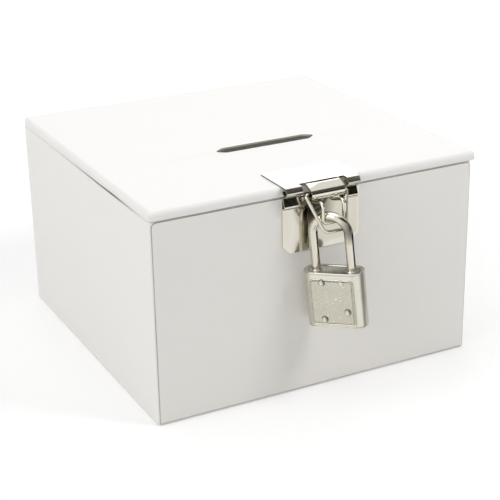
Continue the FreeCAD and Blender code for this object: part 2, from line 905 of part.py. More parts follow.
os.makedirs("parts", exist_ok=True)
for builder in box_pieces + lid_pieces + padlock_pieces:
    piece = builder()
    if not piece.isValid():
        raise ValueError(builder.__name__ + " is not a valid shape")
    piece.exportStep("parts/" + builder.__name__ + ".step")
    print(builder.__name__, len(piece.Solids), "solid", round(piece.Volume, 1), "mm3")
print("hinge axis", round(hinge_y, 3), round(hinge_z, 3))
print("bail axis", round(bail_axis.y, 3), round(bail_axis.z, 3))
print("padlock crown middle", [round(value, 3) for value in lock_centre()])
print("staple foot height", round(staple_foot_z(), 3))
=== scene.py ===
"""Looks of a donation box: paper-covered board, a nickel hasp and a padlock.

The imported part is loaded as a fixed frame. Lengths are in metres, +Z is up, +X runs to
the right along the front and +Y runs from the front to the hinge.
"""

import logging
import math
from dataclasses import dataclass, replace
from enum import Enum
from typing import Callable, Iterable, Sequence, Union

import bmesh
import bpy
from mathutils import Matrix, Vector, noise
from mathutils.geometry import tessellate_polygon


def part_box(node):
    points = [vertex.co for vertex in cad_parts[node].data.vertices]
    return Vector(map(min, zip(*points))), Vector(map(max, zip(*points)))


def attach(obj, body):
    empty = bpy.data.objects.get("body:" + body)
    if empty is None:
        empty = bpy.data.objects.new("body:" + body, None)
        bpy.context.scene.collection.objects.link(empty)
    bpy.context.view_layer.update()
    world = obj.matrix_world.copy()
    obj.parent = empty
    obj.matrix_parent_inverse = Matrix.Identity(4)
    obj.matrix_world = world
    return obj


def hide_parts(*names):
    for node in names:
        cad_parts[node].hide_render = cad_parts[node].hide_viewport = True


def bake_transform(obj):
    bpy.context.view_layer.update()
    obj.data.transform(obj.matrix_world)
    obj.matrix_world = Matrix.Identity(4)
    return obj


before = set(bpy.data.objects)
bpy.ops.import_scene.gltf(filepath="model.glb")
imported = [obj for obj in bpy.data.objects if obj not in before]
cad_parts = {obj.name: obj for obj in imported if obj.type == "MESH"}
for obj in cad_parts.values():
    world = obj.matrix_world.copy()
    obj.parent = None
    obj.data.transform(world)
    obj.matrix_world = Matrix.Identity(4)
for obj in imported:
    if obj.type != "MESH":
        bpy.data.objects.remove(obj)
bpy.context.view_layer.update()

LOG = logging.getLogger("donation_box")
MM = 0.001
TINY = 0.02 * MM
SMOOTH_ANGLE = math.radians(21)
CUT_END_FACING = 0.5
# Stored number by which finishes paint wear, painted shade and painted highlights
WEAR_AND_PAINTED_LIGHT_MARK = "edge"
FIELD_MARK = "field"
CORNER_SIGNS = ((-1, -1), (1, -1), (1, 1), (-1, 1))
WHITE = (1.0, 1.0, 1.0, 1.0)

Flat = list[tuple[float, float]]
Spot = tuple[float, float, float]
Colour = tuple[float, float, float]
Piece = bpy.types.Object
Socket = bpy.types.NodeSocket
Loop = Sequence[bmesh.types.BMVert]


class Body(str, Enum):
    """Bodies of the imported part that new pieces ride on."""

    BOX = "box"
    LID = "lid"
    BAIL = "bail"
    SHACKLE = "shackle"
    LOCK = "lock_body"


class Carve(str, Enum):
    """What a tool does to a piece."""

    CUT = "DIFFERENCE"
    JOIN = "UNION"


class Domain(str, Enum):
    """What a stored number belongs to."""

    POINT = "POINT"
    FACE = "FACE"


class Side(Enum):
    """A face of the padlock, by the sign of its own Y direction."""

    FRONT = -1
    REAR = 1


class Grain(str, Enum):
    """Small-scale texture of a finish."""

    FIBRE = "paper_fibre"
    WEAVE = "cloth_weave"
    LINES = "drawn_lines"
    PEBBLE = "pebbled_skin"


# Outlines


def arc(middle: Sequence[float], radius: float, start: float, end: float, steps: int = 6) -> Flat:
    """Draw an arc.

    Args:
        middle: Centre of the arc.
        radius: Its radius.
        start: First angle in degrees.
        end: Last angle in degrees.
        steps: Parts that the arc is divided into.

    Returns:
        Points from the first angle to the last.
    """
    angles = [math.radians(start + (end - start) * step / steps) for step in range(steps + 1)]
    return [(middle[0] + radius * math.cos(turn), middle[1] + radius * math.sin(turn)) for turn in angles]


def rounded_outline(corners: Flat, radii: Sequence[float], side_steps: int = 1, arc_steps: int = 6) -> Flat:
    """Draw a closed outline with an arc at each corner.

    Args:
        corners: Corners in order round the outline.
        radii: Radius of the arc at each corner.
        side_steps: Parts that each straight side is divided into.
        arc_steps: Parts that each arc is divided into.

    Returns:
        Points round the outline; their count depends on the steps alone.
    """
    arcs = []
    for index, (corner, radius) in enumerate(zip(corners, radii)):
        here = Vector(corner)
        back = (Vector(corners[index - 1]) - here).normalized()
        ahead = (Vector(corners[(index + 1) % len(corners)]) - here).normalized()
        half = back.angle(ahead) / 2
        middle = here + (back + ahead).normalized() * (radius / math.sin(half))
        start = here + back * (radius / math.tan(half)) - middle
        end = here + ahead * (radius / math.tan(half)) - middle
        sweep = math.atan2(start.x * end.y - start.y * end.x, start.dot(end))
        turns = [Matrix.Rotation(sweep * step / arc_steps, 2) for step in range(arc_steps + 1)]
        arcs.append([middle + turn @ start for turn in turns])
    outline = []
    for index, points in enumerate(arcs):
        following = arcs[(index + 1) % len(arcs)][0]
        outline += points
        outline += [points[-1].lerp(following, step / side_steps) for step in range(1, side_steps)]
    return [tuple(point) for point in outline]


def rectangle(low: Sequence[float], high: Sequence[float], inset: float, radius: float,
              side_steps: int = 1) -> Flat:
    """Draw a rectangle with rounded corners.

    Args:
        low: Lowest corner.
        high: Highest corner.
        inset: How far every side moves inwards.
        radius: Corner radius before the inset.
        side_steps: Parts that each side is divided into.

    Returns:
        Points round the rectangle.
    """
    x0, y0 = low[0] + inset, low[1] + inset
    x1, y1 = high[0] - inset, high[1] - inset
    corner = max(radius - inset, TINY)
    return rounded_outline([(x0, y0), (x1, y0), (x1, y1), (x0, y1)], [corner] * 4, side_steps)


def band(line: Flat, thickness: float) -> Flat:
    """Draw the section of a sheet that follows a line.

    Args:
        line: Points along the middle of the sheet.
        thickness: Thickness of the sheet.

    Returns:
        A closed outline, along one side and back along the other.
    """
    left, right = [], []
    for index, point in enumerate(line):
        before = Vector(line[max(index - 1, 0)])
        after = Vector(line[min(index + 1, len(line) - 1)])
        along = (after - before).normalized()
        across = Vector((-along.y, along.x)) * (thickness / 2)
        left.append(tuple(Vector(point) + across))
        right.append(tuple(Vector(point) - across))
    return left + right[::-1]


def bent_line(points: Sequence[Vector], bends: Sequence[float], arc_steps: int = 10) -> list[Vector]:
    """Round the inner corners of a line in space.

    Args:
        points: Corners of the line.
        bends: Radius at each inner corner.
        arc_steps: Parts that each bend is divided into.

    Returns:
        Points along the rounded line.
    """
    line = [points[0]]
    for before, corner, after, radius in zip(points, points[1:], points[2:], bends):
        back = (before - corner).normalized()
        ahead = (after - corner).normalized()
        half = back.angle(ahead) / 2
        middle = corner + (back + ahead).normalized() * (radius / math.sin(half))
        start = corner + back * (radius / math.tan(half)) - middle
        turn = math.pi - 2 * half
        axis = back.cross(ahead)
        line += [middle + Matrix.Rotation(-turn * step / arc_steps, 3, axis) @ start
                 for step in range(arc_steps + 1)]
    return line + [points[-1]]


# Meshes


def linked(name: str, data: bpy.types.ID) -> Piece:
    """Put data in the scene as an object at the origin.

    Args:
        name: Name of the object.
        data: Its mesh, lamp or camera.

    Returns:
        The new object.
    """
    item = bpy.data.objects.new(name, data)
    bpy.context.scene.collection.objects.link(item)
    return item


def shown(name: str, data: bpy.types.Mesh) -> Piece:
    """Show a mesh in the scene with smooth curved faces and sharp edges.

    Args:
        name: Name of the piece.
        data: Its mesh.

    Returns:
        The new piece, at the origin.
    """
    data.shade_smooth()
    data.set_sharp_from_angle(angle=SMOOTH_ANGLE)
    return linked(name, data)


def settle(piece: Piece) -> None:
    """Turn a piece's modifiers into its own plain mesh.

    Args:
        piece: The piece to change.
    """
    graph = bpy.context.evaluated_depsgraph_get()
    data = bpy.data.meshes.new_from_object(piece.evaluated_get(graph))
    piece.modifiers.clear()
    piece.data = data
    data.set_sharp_from_angle(angle=SMOOTH_ANGLE)


def carve(piece: Piece, tools: Iterable[Piece], how: Carve = Carve.CUT) -> None:
    """Cut tools from a piece, or join them on, and drop the tools.

    Args:
        piece: The piece to change.
        tools: Closed shapes, which are removed afterwards.
        how: Whether the tools are cut away or joined on.
    """
    for tool in tools:
        modifier = piece.modifiers.new("carve", "BOOLEAN")
        modifier.operation = how.value
        modifier.solver = "EXACT"
        modifier.object = tool
        settle(piece)
        bpy.data.objects.remove(tool)


def ease_edges(piece: Piece, width: float, segments: int = 2) -> None:
    """Round the sharp edges of a piece.

    Args:
        piece: The piece to change.
        width: Width of the rounding.
        segments: Steps across it.
    """
    modifier = piece.modifiers.new("ease", "BEVEL")
    modifier.width = width
    modifier.segments = segments
    modifier.limit_method = "ANGLE"
    modifier.angle_limit = SMOOTH_ANGLE
    modifier.use_clamp_overlap = True
    settle(piece)


def ripple(piece: Piece, depth: float, span: float, reach: float) -> None:
    """Make paper slightly uneven along the sides that stand up.

    Args:
        piece: The piece to change.
        depth: How far a point moves at most.
        span: Distance from one wave to the next.
        reach: How far from the sides the unevenness fades out.
    """
    low, high = Vector(piece.bound_box[0]), Vector(piece.bound_box[6])
    for vertex in piece.data.vertices:
        x, y, _ = vertex.co
        inset = min(x - low.x, high.x - x, y - low.y, high.y - y)
        share = max(1 - inset / reach, 0.0)
        vertex.co += noise.noise_vector(vertex.co / span) * (depth * share)


def store(piece: Piece, name: str, values: Sequence[float], domain: Domain = Domain.POINT) -> None:
    """Store a number on each point or face of a piece.

    Args:
        piece: The piece to mark.
        name: Name of the attribute.
        values: The numbers, in the order of the points or faces.
        domain: Whether they belong to points or to faces.
    """
    attribute = piece.data.attributes.new(name, "FLOAT", domain.value)
    attribute.data.foreach_set("value", values)


def mark_edges(piece: Piece, full_turn: float = math.radians(18)) -> None:
    """Store on each point how much the surface turns there, for colours along edges: wear on some finishes,
    painted shade and painted highlights on others.

    Args:
        piece: The piece to mark.
        full_turn: Turn between two faces that counts as a whole edge.
    """
    if WEAR_AND_PAINTED_LIGHT_MARK in piece.data.attributes:
        return
    mesh = bmesh.new()
    mesh.from_mesh(piece.data)
    values = [max((edge.calc_face_angle(0.0) for edge in vertex.link_edges), default=0.0)
              for vertex in mesh.verts]
    mesh.free()
    store(piece, WEAR_AND_PAINTED_LIGHT_MARK, [min(value / full_turn, 1.0) for value in values])


def mark_cut_ends(piece: Piece) -> None:
    """Store on each face whether it is a bare cut end of a sheet drawn out along X; these ends are painted
    near black, bare steel darkened further by painted shade.
    """
    ends = [float(abs(face.normal.x) > CUT_END_FACING) for face in piece.data.polygons]
    store(piece, WEAR_AND_PAINTED_LIGHT_MARK, ends, Domain.FACE)


class Skin:
    """A mesh that is drawn ring by ring."""

    def __init__(self) -> None:
        """Start with an empty mesh."""
        self.mesh = bmesh.new()

    def ring(self, points: Iterable[Sequence[float]]) -> Loop:
        """Add the points of one ring or row."""
        return [self.mesh.verts.new(point) for point in points]

    def strip(self, first: Loop, second: Loop) -> None:
        """Join two rings of as many points with a strip of faces."""
        for index in range(len(first)):
            self.mesh.faces.new((first[index - 1], first[index], second[index], second[index - 1]))

    def chain(self, rings: Iterable[Iterable[Sequence[float]]]) -> list[Loop]:
        """Add rings and join each one to the next.

        Args:
            rings: Points of each ring, as many in each.

        Returns:
            The points as mesh vertices, ring by ring.
        """
        drawn = [self.ring(points) for points in rings]
        for first, second in zip(drawn, drawn[1:]):
            self.strip(first, second)
        return drawn

    def tube(self, rings: Iterable[Iterable[Sequence[float]]]) -> None:
        """Add rings that are joined in a circle, the last to the first."""
        drawn = self.chain(rings)
        self.strip(drawn[-1], drawn[0])

    def solid(self, rings: Iterable[Iterable[Sequence[float]]]) -> None:
        """Add rings that are joined in a row, with a cap on each end.

        Args:
            rings: Points of each ring, as many in each.
        """
        drawn = self.chain(rings)
        self.mesh.faces.new(drawn[0])
        self.mesh.faces.new(drawn[-1])

    def fill(self, outer: Loop, hole: Loop) -> None:
        """Fill the flat area between a ring and a hole in it.

        Args:
            outer: The ring.
            hole: The ring round the hole.
        """
        points = [*outer, *hole]
        for corners in tessellate_polygon([[point.co for point in outer], [point.co for point in hole]]):
            self.mesh.faces.new([points[corner] for corner in corners])

    def piece(self, name: str, place: Matrix = Matrix()) -> Piece:
        """Keep the mesh as a piece.

        Args:
            name: Name of the piece.
            place: Where the mesh goes in the frame.

        Returns:
            The piece, with its faces turned outwards.
        """
        bmesh.ops.recalc_face_normals(self.mesh, faces=self.mesh.faces)
        data = bpy.data.meshes.new(name)
        self.mesh.to_mesh(data)
        self.mesh.free()
        data.transform(place)
        return shown(name, data)


def drawn_out(name: str, outline: Flat, x0: float, x1: float) -> Piece:
    """Draw a section in the YZ plane out along X.

    Args:
        name: Name of the piece.
        outline: Closed outline as (y, z) points.
        x0: Where it starts.
        x1: Where it ends.

    Returns:
        A closed piece.
    """
    skin = Skin()
    skin.solid([(x, y, z) for y, z in outline] for x in (x0, x1))
    return skin.piece(name)


def block(low: Sequence[float], high: Sequence[float], place: Matrix = Matrix()) -> Piece:
    """Make a plain block, used as a tool for carving.

    Args:
        low: Lowest corner.
        high: Highest corner.
        place: Where the block goes in the frame.

    Returns:
        A closed block.
    """
    skin = Skin()
    corners = [(low[0], low[1]), (high[0], low[1]), (high[0], high[1]), (low[0], high[1])]
    skin.solid([(x, y, z) for x, y in corners] for z in (low[2], high[2]))
    return skin.piece("tool", place)


def round_tool(start: Vector, end: Vector, radius: float, place: Matrix = Matrix()) -> Piece:
    """Make a round bar, used as a tool for carving.

    Args:
        start: Middle of one end.
        end: Middle of the other end.
        radius: Radius of the bar.
        place: Where the bar goes in the frame.

    Returns:
        A closed bar.
    """
    sides = 48
    turn = (end - start).to_track_quat("Z", "Y")
    circle = [Vector((x, y, 0)) for x, y in arc((0, 0), radius, 0, 360 - 360 / sides, sides - 1)]
    skin = Skin()
    skin.solid([point + turn @ spoke for spoke in circle] for point in (start, end))
    return skin.piece("tool", place)


# Node trees


class Bench:
    """Short calls that add and link nodes in one tree."""

    def __init__(self, tree: bpy.types.NodeTree) -> None:
        """Work on a node tree."""
        self.tree = tree

    def add(self, kind: str, inputs: Union[dict, None] = None, **settings: object) -> bpy.types.Node:
        """Add a node.

        Args:
            kind: The node's type.
            inputs: A value or another node's output for each input, by name or number.
            settings: Properties of the node.

        Returns:
            The new node.
        """
        node = self.tree.nodes.new(kind)
        for key, value in settings.items():
            setattr(node, key, value)
        for key, value in (inputs or {}).items():
            self.feed(node.inputs[key], value)
        return node

    def feed(self, socket: Socket, value: object) -> None:
        """Link an input to another node's output, or set its value.

        Args:
            socket: The input.
            value: The output or the value that it gets.
        """
        if isinstance(value, Socket):
            self.tree.links.new(value, socket)
        else:
            socket.default_value = value

    def sum(self, operation: str, *values: Union[float, Socket]) -> Socket:
        """Add a Math node and give its result."""
        return self.add("ShaderNodeMath", dict(enumerate(values)), operation=operation).outputs[0]

    def blend(self, share: Union[float, Socket], first: object, second: object) -> Socket:
        """Mix two colours.

        Args:
            share: Share of the second colour.
            first: First colour, or the socket that gives it.
            second: Second colour, or the socket that gives it.

        Returns:
            The mixed colour.
        """
        node = self.add("ShaderNodeMix", data_type="RGBA")
        for name, value in (("Factor", share), ("A", first), ("B", second)):
            self.feed(next(item for item in node.inputs if item.name == name and item.enabled), value)
        return next(item for item in node.outputs if item.enabled)

    def end_geometry(self, geometry: Socket, finish: Socket) -> None:
        """End a geometry tree: make instances real, set the finish and put the result out.

        Args:
            geometry: What the tree has made.
            finish: The material that it gets.
        """
        single = self.add("GeometryNodeRealizeInstances", {0: geometry})
        dressed = self.add("GeometryNodeSetMaterial", {"Geometry": single.outputs[0], "Material": finish})
        self.add("NodeGroupOutput", {0: dressed.outputs[0]})


def blank_material(name: str) -> tuple[bpy.types.Material, Bench]:
    """Start a material.

    Args:
        name: Name of the material.

    Returns:
        The material without nodes, and a bench to work on it.
    """
    material = bpy.data.materials.new(name)
    material.use_nodes = True
    material.node_tree.nodes.clear()
    return material, Bench(material.node_tree)


def tree_sockets(tree: bpy.types.NodeTree, inputs: dict[str, str], outputs: dict[str, str]) -> None:
    """Give a node group its named sockets.

    Args:
        tree: The group.
        inputs: Socket kind of each input.
        outputs: Socket kind of each output.
    """
    for direction, sockets in (("INPUT", inputs), ("OUTPUT", outputs)):
        for name, kind in sockets.items():
            tree.interface.new_socket(name=name, in_out=direction, socket_type="NodeSocket" + kind)


def run_tree(piece: Piece, tree: bpy.types.NodeTree, values: dict[str, object]) -> None:
    """Run geometry nodes on a piece and keep the result as its plain mesh.

    Args:
        piece: The piece whose mesh goes in.
        tree: The geometry tree.
        values: Value of each named input.
    """
    modifier = piece.modifiers.new("tree", "NODES")
    modifier.node_group = tree
    for item in tree.interface.items_tree:
        if item.in_out == "INPUT" and item.name in values:
            modifier[item.identifier] = values[item.name]
    settle(piece)


class WireTree:
    """Geometry nodes that draw a round bar along a line of edges."""

    def __init__(self) -> None:
        """Build the tree."""
        self.tree = bpy.data.node_groups.new("wire_along_line", "GeometryNodeTree")
        tree_sockets(self.tree, {"Line": "Geometry", "Wire Radius": "Float", "Sides": "Int",
                                 "Finish": "Material"}, {"Wire": "Geometry"})
        bench = Bench(self.tree)
        start = bench.add("NodeGroupInput")
        line = bench.add("GeometryNodeMeshToCurve", {0: start.outputs["Line"]})
        circle = bench.add("GeometryNodeCurvePrimitiveCircle",
                           {"Resolution": start.outputs["Sides"], "Radius": start.outputs["Wire Radius"]})
        wire = bench.add("GeometryNodeCurveToMesh", {"Curve": line.outputs[0], "Fill Caps": True,
                                                     "Profile Curve": circle.outputs[0]})
        bench.end_geometry(wire.outputs[0], start.outputs["Finish"])

    def draw(self, name: str, line: Sequence[Vector], radius: float, finish: bpy.types.Material,
             sides: int = 32) -> Piece:
        """Draw one wire.

        Args:
            name: Name of the piece.
            line: Points along the wire's middle.
            radius: The wire's radius.
            finish: Its material.
            sides: Sides of its round section.

        Returns:
            The wire as a plain mesh.
        """
        data = bpy.data.meshes.new(name)
        data.from_pydata(line, [(step, step + 1) for step in range(len(line) - 1)], [])
        piece = linked(name, data)
        run_tree(piece, self.tree, {"Wire Radius": radius, "Sides": sides, "Finish": finish})
        piece.data.shade_smooth()
        piece.data.set_sharp_from_angle(angle=SMOOTH_ANGLE)
        return piece


class RivetTree:
    """Geometry nodes that set a round head on each point."""

    sides: int = 48
    rings: int = 14

    def __init__(self) -> None:
        """Build the tree."""
        self.tree = bpy.data.node_groups.new("heads_on_points", "GeometryNodeTree")
        tree_sockets(self.tree, {"Points": "Geometry", "Head Radius": "Float", "Head Height": "Float",
                                 "Head Turn": "Vector", "Unshaded Spot": "Vector", "Unshaded Reach": "Float",
                                 "Painted Shade Reach": "Float", "Finish": "Material"}, {"Heads": "Geometry"})
        bench = Bench(self.tree)
        start = bench.add("NodeGroupInput")
        radius = start.outputs["Head Radius"]
        disc = bench.add("GeometryNodeMeshCone", {"Vertices": self.sides, "Side Segments": self.rings,
                                                  "Radius Top": 0.0, "Radius Bottom": radius, "Depth": TINY})
        place = bench.add("ShaderNodeSeparateXYZ", {0: bench.add("GeometryNodeInputPosition").outputs[0]})
        reach = bench.sum("SQRT", bench.sum("ADD", bench.sum("POWER", place.outputs[0], 2.0),
                                            bench.sum("POWER", place.outputs[1], 2.0)))
        share = bench.sum("MINIMUM", bench.sum("DIVIDE", reach, radius), 1.0)
        turn = bench.sum("MULTIPLY", share, math.pi / 2)
        spread = bench.sum("DIVIDE", bench.sum("SINE", turn), share)
        rise = bench.sum("MULTIPLY", bench.sum("COSINE", turn), start.outputs["Head Height"])
        round_place = bench.add("ShaderNodeCombineXYZ", {0: bench.sum("MULTIPLY", place.outputs[0], spread),
                                                         1: bench.sum("MULTIPLY", place.outputs[1], spread),
                                                         2: rise})
        dome = bench.add("GeometryNodeSetPosition", {"Geometry": disc.outputs[0],
                                                     "Position": round_place.outputs[0]})
        # Each head stores painted shade and dark reflection, none near a spot on the head and full farther
        # from it
        flat_place = bench.add("ShaderNodeCombineXYZ", {0: bench.sum("DIVIDE", place.outputs[0], radius),
                                                        1: bench.sum("DIVIDE", place.outputs[1], radius)})
        away = bench.add("ShaderNodeVectorMath", {0: flat_place.outputs[0], 1: start.outputs["Unshaded Spot"]},
                         operation="DISTANCE")
        painted_shade = bench.add("ShaderNodeMapRange", {"Value": away.outputs["Value"],
                                                 "From Min": start.outputs["Unshaded Reach"],
                                                 "From Max": start.outputs["Painted Shade Reach"]})
        rim = bench.add("GeometryNodeStoreNamedAttribute", {"Geometry": dome.outputs[0], "Name": WEAR_AND_PAINTED_LIGHT_MARK,
                                                            "Value": painted_shade.outputs[0]})
        facing = bench.add("FunctionNodeEulerToRotation", {0: start.outputs["Head Turn"]})
        heads = bench.add("GeometryNodeInstanceOnPoints", {"Points": start.outputs["Points"],
                                                           "Instance": rim.outputs[0],
                                                           "Rotation": facing.outputs[0]})
        bench.end_geometry(heads.outputs[0], start.outputs["Finish"])


class PebbleTree:
    """Geometry nodes that press a pebbled texture into a marked part of a surface."""

    detail: float = 1.5
    noise_middle: float = 0.5

    def __init__(self) -> None:
        """Build the tree."""
        self.tree = bpy.data.node_groups.new("pebbled_field", "GeometryNodeTree")
        tree_sockets(self.tree, {"Plate": "Geometry", "Pebble Size": "Float", "Pebble Height": "Float",
                                 "Seed": "Float", "Finish": "Material"}, {"Plate": "Geometry"})
        bench = Bench(self.tree)
        start = bench.add("NodeGroupInput")
        spread = bench.sum("DIVIDE", 1.0, start.outputs["Pebble Size"])
        bumps = bench.add("ShaderNodeTexNoise", {"W": start.outputs["Seed"], "Scale": spread,
                                                 "Detail": self.detail}, noise_dimensions="4D")
        marked = bench.add("GeometryNodeInputNamedAttribute", {"Name": FIELD_MARK}, data_type="FLOAT")
        level = bench.sum("SUBTRACT", bumps.outputs[0], self.noise_middle)
        height = bench.sum("MULTIPLY", bench.sum("MULTIPLY", level, start.outputs["Pebble Height"]),
                           marked.outputs[0])
        normal = bench.add("GeometryNodeInputNormal")
        offset = bench.add("ShaderNodeVectorMath", {0: normal.outputs[0], "Scale": height}, operation="SCALE")
        pressed = bench.add("GeometryNodeSetPosition", {"Geometry": start.outputs["Plate"],
                                                        "Offset": offset.outputs[0]})
        bench.end_geometry(pressed.outputs[0], start.outputs["Finish"])


# Finishes


class GrainGroups:
    """Shader groups that several finishes share, each built once."""

    cloud_tint: float = 0.7
    cloud_gloss: float = 0.6
    line_squeeze: Spot = (0.06, 1.0, 1.0)

    def __init__(self) -> None:
        """Build one group for each grain."""
        makers = {Grain.FIBRE: self.fibre, Grain.WEAVE: self.weave, Grain.LINES: self.lines,
                  Grain.PEBBLE: self.pebble}
        self.trees = {grain: self.group(grain, maker) for grain, maker in makers.items()}

    def group(self, grain: Grain, maker: Callable[[Bench, Socket, Socket], Socket]) -> bpy.types.NodeTree:
        """Build one group.

        Args:
            grain: The grain that it draws.
            maker: Method that draws the height of the grain.

        Returns:
            A group with tint, gloss and height outputs from 0 to 1.
        """
        tree = bpy.data.node_groups.new(grain.value, "ShaderNodeTree")
        tree_sockets(tree, {"Place": "Vector", "Grain Size": "Float", "Cloud Size": "Float"},
                     {"Tint": "Float", "Gloss": "Float", "Height": "Float"})
        bench = Bench(tree)
        start = bench.add("NodeGroupInput")
        place = start.outputs["Place"]
        height = maker(bench, place, bench.sum("DIVIDE", 1.0, start.outputs["Grain Size"]))
        cloud_scale = bench.sum("DIVIDE", 1.0, start.outputs["Cloud Size"])
        clouds = bench.add("ShaderNodeTexNoise", {"Vector": place, "Scale": cloud_scale, "Detail": 3.0,
                                                  "Roughness": 0.55})
        tint, gloss = [bench.sum("ADD", bench.sum("MULTIPLY", clouds.outputs[0], share),
                                 bench.sum("MULTIPLY", height, 1 - share))
                       for share in (self.cloud_tint, self.cloud_gloss)]
        bench.add("NodeGroupOutput", {"Tint": tint, "Gloss": gloss, "Height": height})
        return tree

    @staticmethod
    def fibre(bench: Bench, place: Socket, scale: Socket) -> Socket:
        """Draw matted paper fibres."""
        fibres = bench.add("ShaderNodeTexNoise", {"Vector": place, "Scale": scale, "Detail": 5.0,
                                                  "Roughness": 0.6, "Distortion": 1.4})
        return fibres.outputs[0]

    @staticmethod
    def weave(bench: Bench, place: Socket, scale: Socket) -> Socket:
        """Draw threads that cross over and under each other.

        Args:
            bench: Where the nodes go.
            place: Place on the piece.
            scale: Threads in a metre.

        Returns:
            Height of the threads.
        """
        parts = bench.add("ShaderNodeSeparateXYZ", {0: place})
        turn = bench.sum("MULTIPLY", scale, math.tau)
        waves = [bench.sum("SINE", bench.sum("MULTIPLY", parts.outputs[axis], turn)) for axis in (0, 2)]
        half = 0.5
        return bench.sum("MULTIPLY_ADD", bench.sum("MULTIPLY", *waves), half, half)

    def lines(self, bench: Bench, place: Socket, scale: Socket) -> Socket:
        """Draw fine marks that run along X.

        Args:
            bench: Where the nodes go.
            place: Place on the piece.
            scale: Marks in a metre across their run.

        Returns:
            Height of the marks.
        """
        drawn = bench.add("ShaderNodeVectorMath", {0: place, 1: self.line_squeeze}, operation="MULTIPLY")
        marks = bench.add("ShaderNodeTexNoise", {"Vector": drawn.outputs[0], "Scale": scale, "Detail": 4.0,
                                                 "Roughness": 0.65})
        return marks.outputs[0]

    @staticmethod
    def pebble(bench: Bench, place: Socket, scale: Socket) -> Socket:
        """Draw close round pebbles."""
        cells = bench.add("ShaderNodeTexVoronoi", {"Vector": place, "Scale": scale, "Smoothness": 0.6},
                          feature="SMOOTH_F1")
        return bench.sum("SUBTRACT", 1.0, cells.outputs["Distance"])


@dataclass(frozen=True)
class Finish:
    """What a surface is made of and how it takes light."""

    name: str
    slot: str
    colour: Colour
    roughness: float
    grain: Grain
    grain_size: float
    grain_depth: float
    cloud_size: float = 18 * MM
    tint_spread: float = 0.03
    gloss_spread: float = 0.06
    metallic: float = 0.0
    specular: float = 0.4
    # Colour put on marked points and its share: wear on some finishes, painted shade and painted highlights
    # on others
    edge_colour: Colour = (0.8, 0.8, 0.8)
    edge_share: float = 0.0
    # Painted dark patch round a middle point, standing in for shade and dark reflection: its colour, share,
    # middle, reach and the share of the reach where it is full
    painted_dark_colour: Colour = (0.05, 0.045, 0.035)
    painted_dark_share: float = 0.9
    painted_dark_middle: Spot = (0.0, 0.0, 0.0)
    painted_dark_reach: float = 0.0
    painted_dark_core: float = 1 / 3
    uneven_least: float = 0.6
    uneven_spread: float = 0.8
    least_roughness: float = 0.02

    def material(self, groups: GrainGroups) -> bpy.types.Material:
        """Build the finish as a material.

        Args:
            groups: The shared grain groups.

        Returns:
            The material.
        """
        material, bench = blank_material(self.name)
        place = bench.add("ShaderNodeTexCoord").outputs["Object"]
        grain = bench.add("ShaderNodeGroup", {"Place": place, "Grain Size": self.grain_size,
                                              "Cloud Size": self.cloud_size},
                          node_tree=groups.trees[self.grain])
        dark = [channel * (1 - self.tint_spread) for channel in self.colour]
        light = [min(channel * (1 + self.tint_spread), 1.0) for channel in self.colour]
        colour = bench.blend(grain.outputs["Tint"], (*dark, 1.0), (*light, 1.0))
        # Marked points take the edge colour: wear on some finishes, painted shade and painted highlights on
        # others
        edge = bench.add("ShaderNodeAttribute", attribute_name=WEAR_AND_PAINTED_LIGHT_MARK)
        uneven = bench.sum("MULTIPLY_ADD", grain.outputs["Gloss"], self.uneven_spread, self.uneven_least)
        wear_and_light = bench.sum("MULTIPLY", bench.sum("MULTIPLY", edge.outputs["Fac"], self.edge_share), uneven)
        colour = bench.blend(wear_and_light, colour, (*self.edge_colour, 1.0))
        # Painted dark patch: full near the middle point, gone at its reach
        if self.painted_dark_reach:
            away = bench.add("ShaderNodeVectorMath", {0: place, 1: self.painted_dark_middle}, operation="DISTANCE")
            painted_dark = bench.add("ShaderNodeMapRange", {"Value": away.outputs["Value"],
                                                     "From Min": self.painted_dark_reach,
                                                     "From Max": self.painted_dark_reach * self.painted_dark_core,
                                                     "To Max": self.painted_dark_share})
            painted_dark_amount = bench.sum("MULTIPLY", painted_dark.outputs[0], uneven)
            colour = bench.blend(painted_dark_amount, colour, (*self.painted_dark_colour, 1.0))
        smoothest = max(self.roughness - self.gloss_spread, self.least_roughness)
        rough = bench.add("ShaderNodeMapRange", {"Value": grain.outputs["Gloss"], "To Min": smoothest,
                                                 "To Max": self.roughness + self.gloss_spread})
        bump = bench.add("ShaderNodeBump", {"Strength": 1.0, "Distance": self.grain_depth,
                                            "Height": grain.outputs["Height"]})
        shader = bench.add("ShaderNodeBsdfPrincipled", {
            "Base Color": colour, "Roughness": rough.outputs[0], "Normal": bump.outputs[0],
            "Metallic": self.metallic, "Specular IOR Level": self.specular})
        bench.add("ShaderNodeOutputMaterial", {"Surface": shader.outputs[0]})
        return material


# Card paper: its dark edge colour is painted shade along the card's edges, where a shadow gap lies against
# the wrap
CARD_PAPER = Finish("card_paper", "white_paper", (0.86, 0.838, 0.802), 0.5, Grain.FIBRE, 0.35 * MM,
                    0.012 * MM, cloud_size=30 * MM, tint_spread=0.018, specular=0.35,
                    edge_colour=(0.3, 0.29, 0.27), edge_share=0.9)
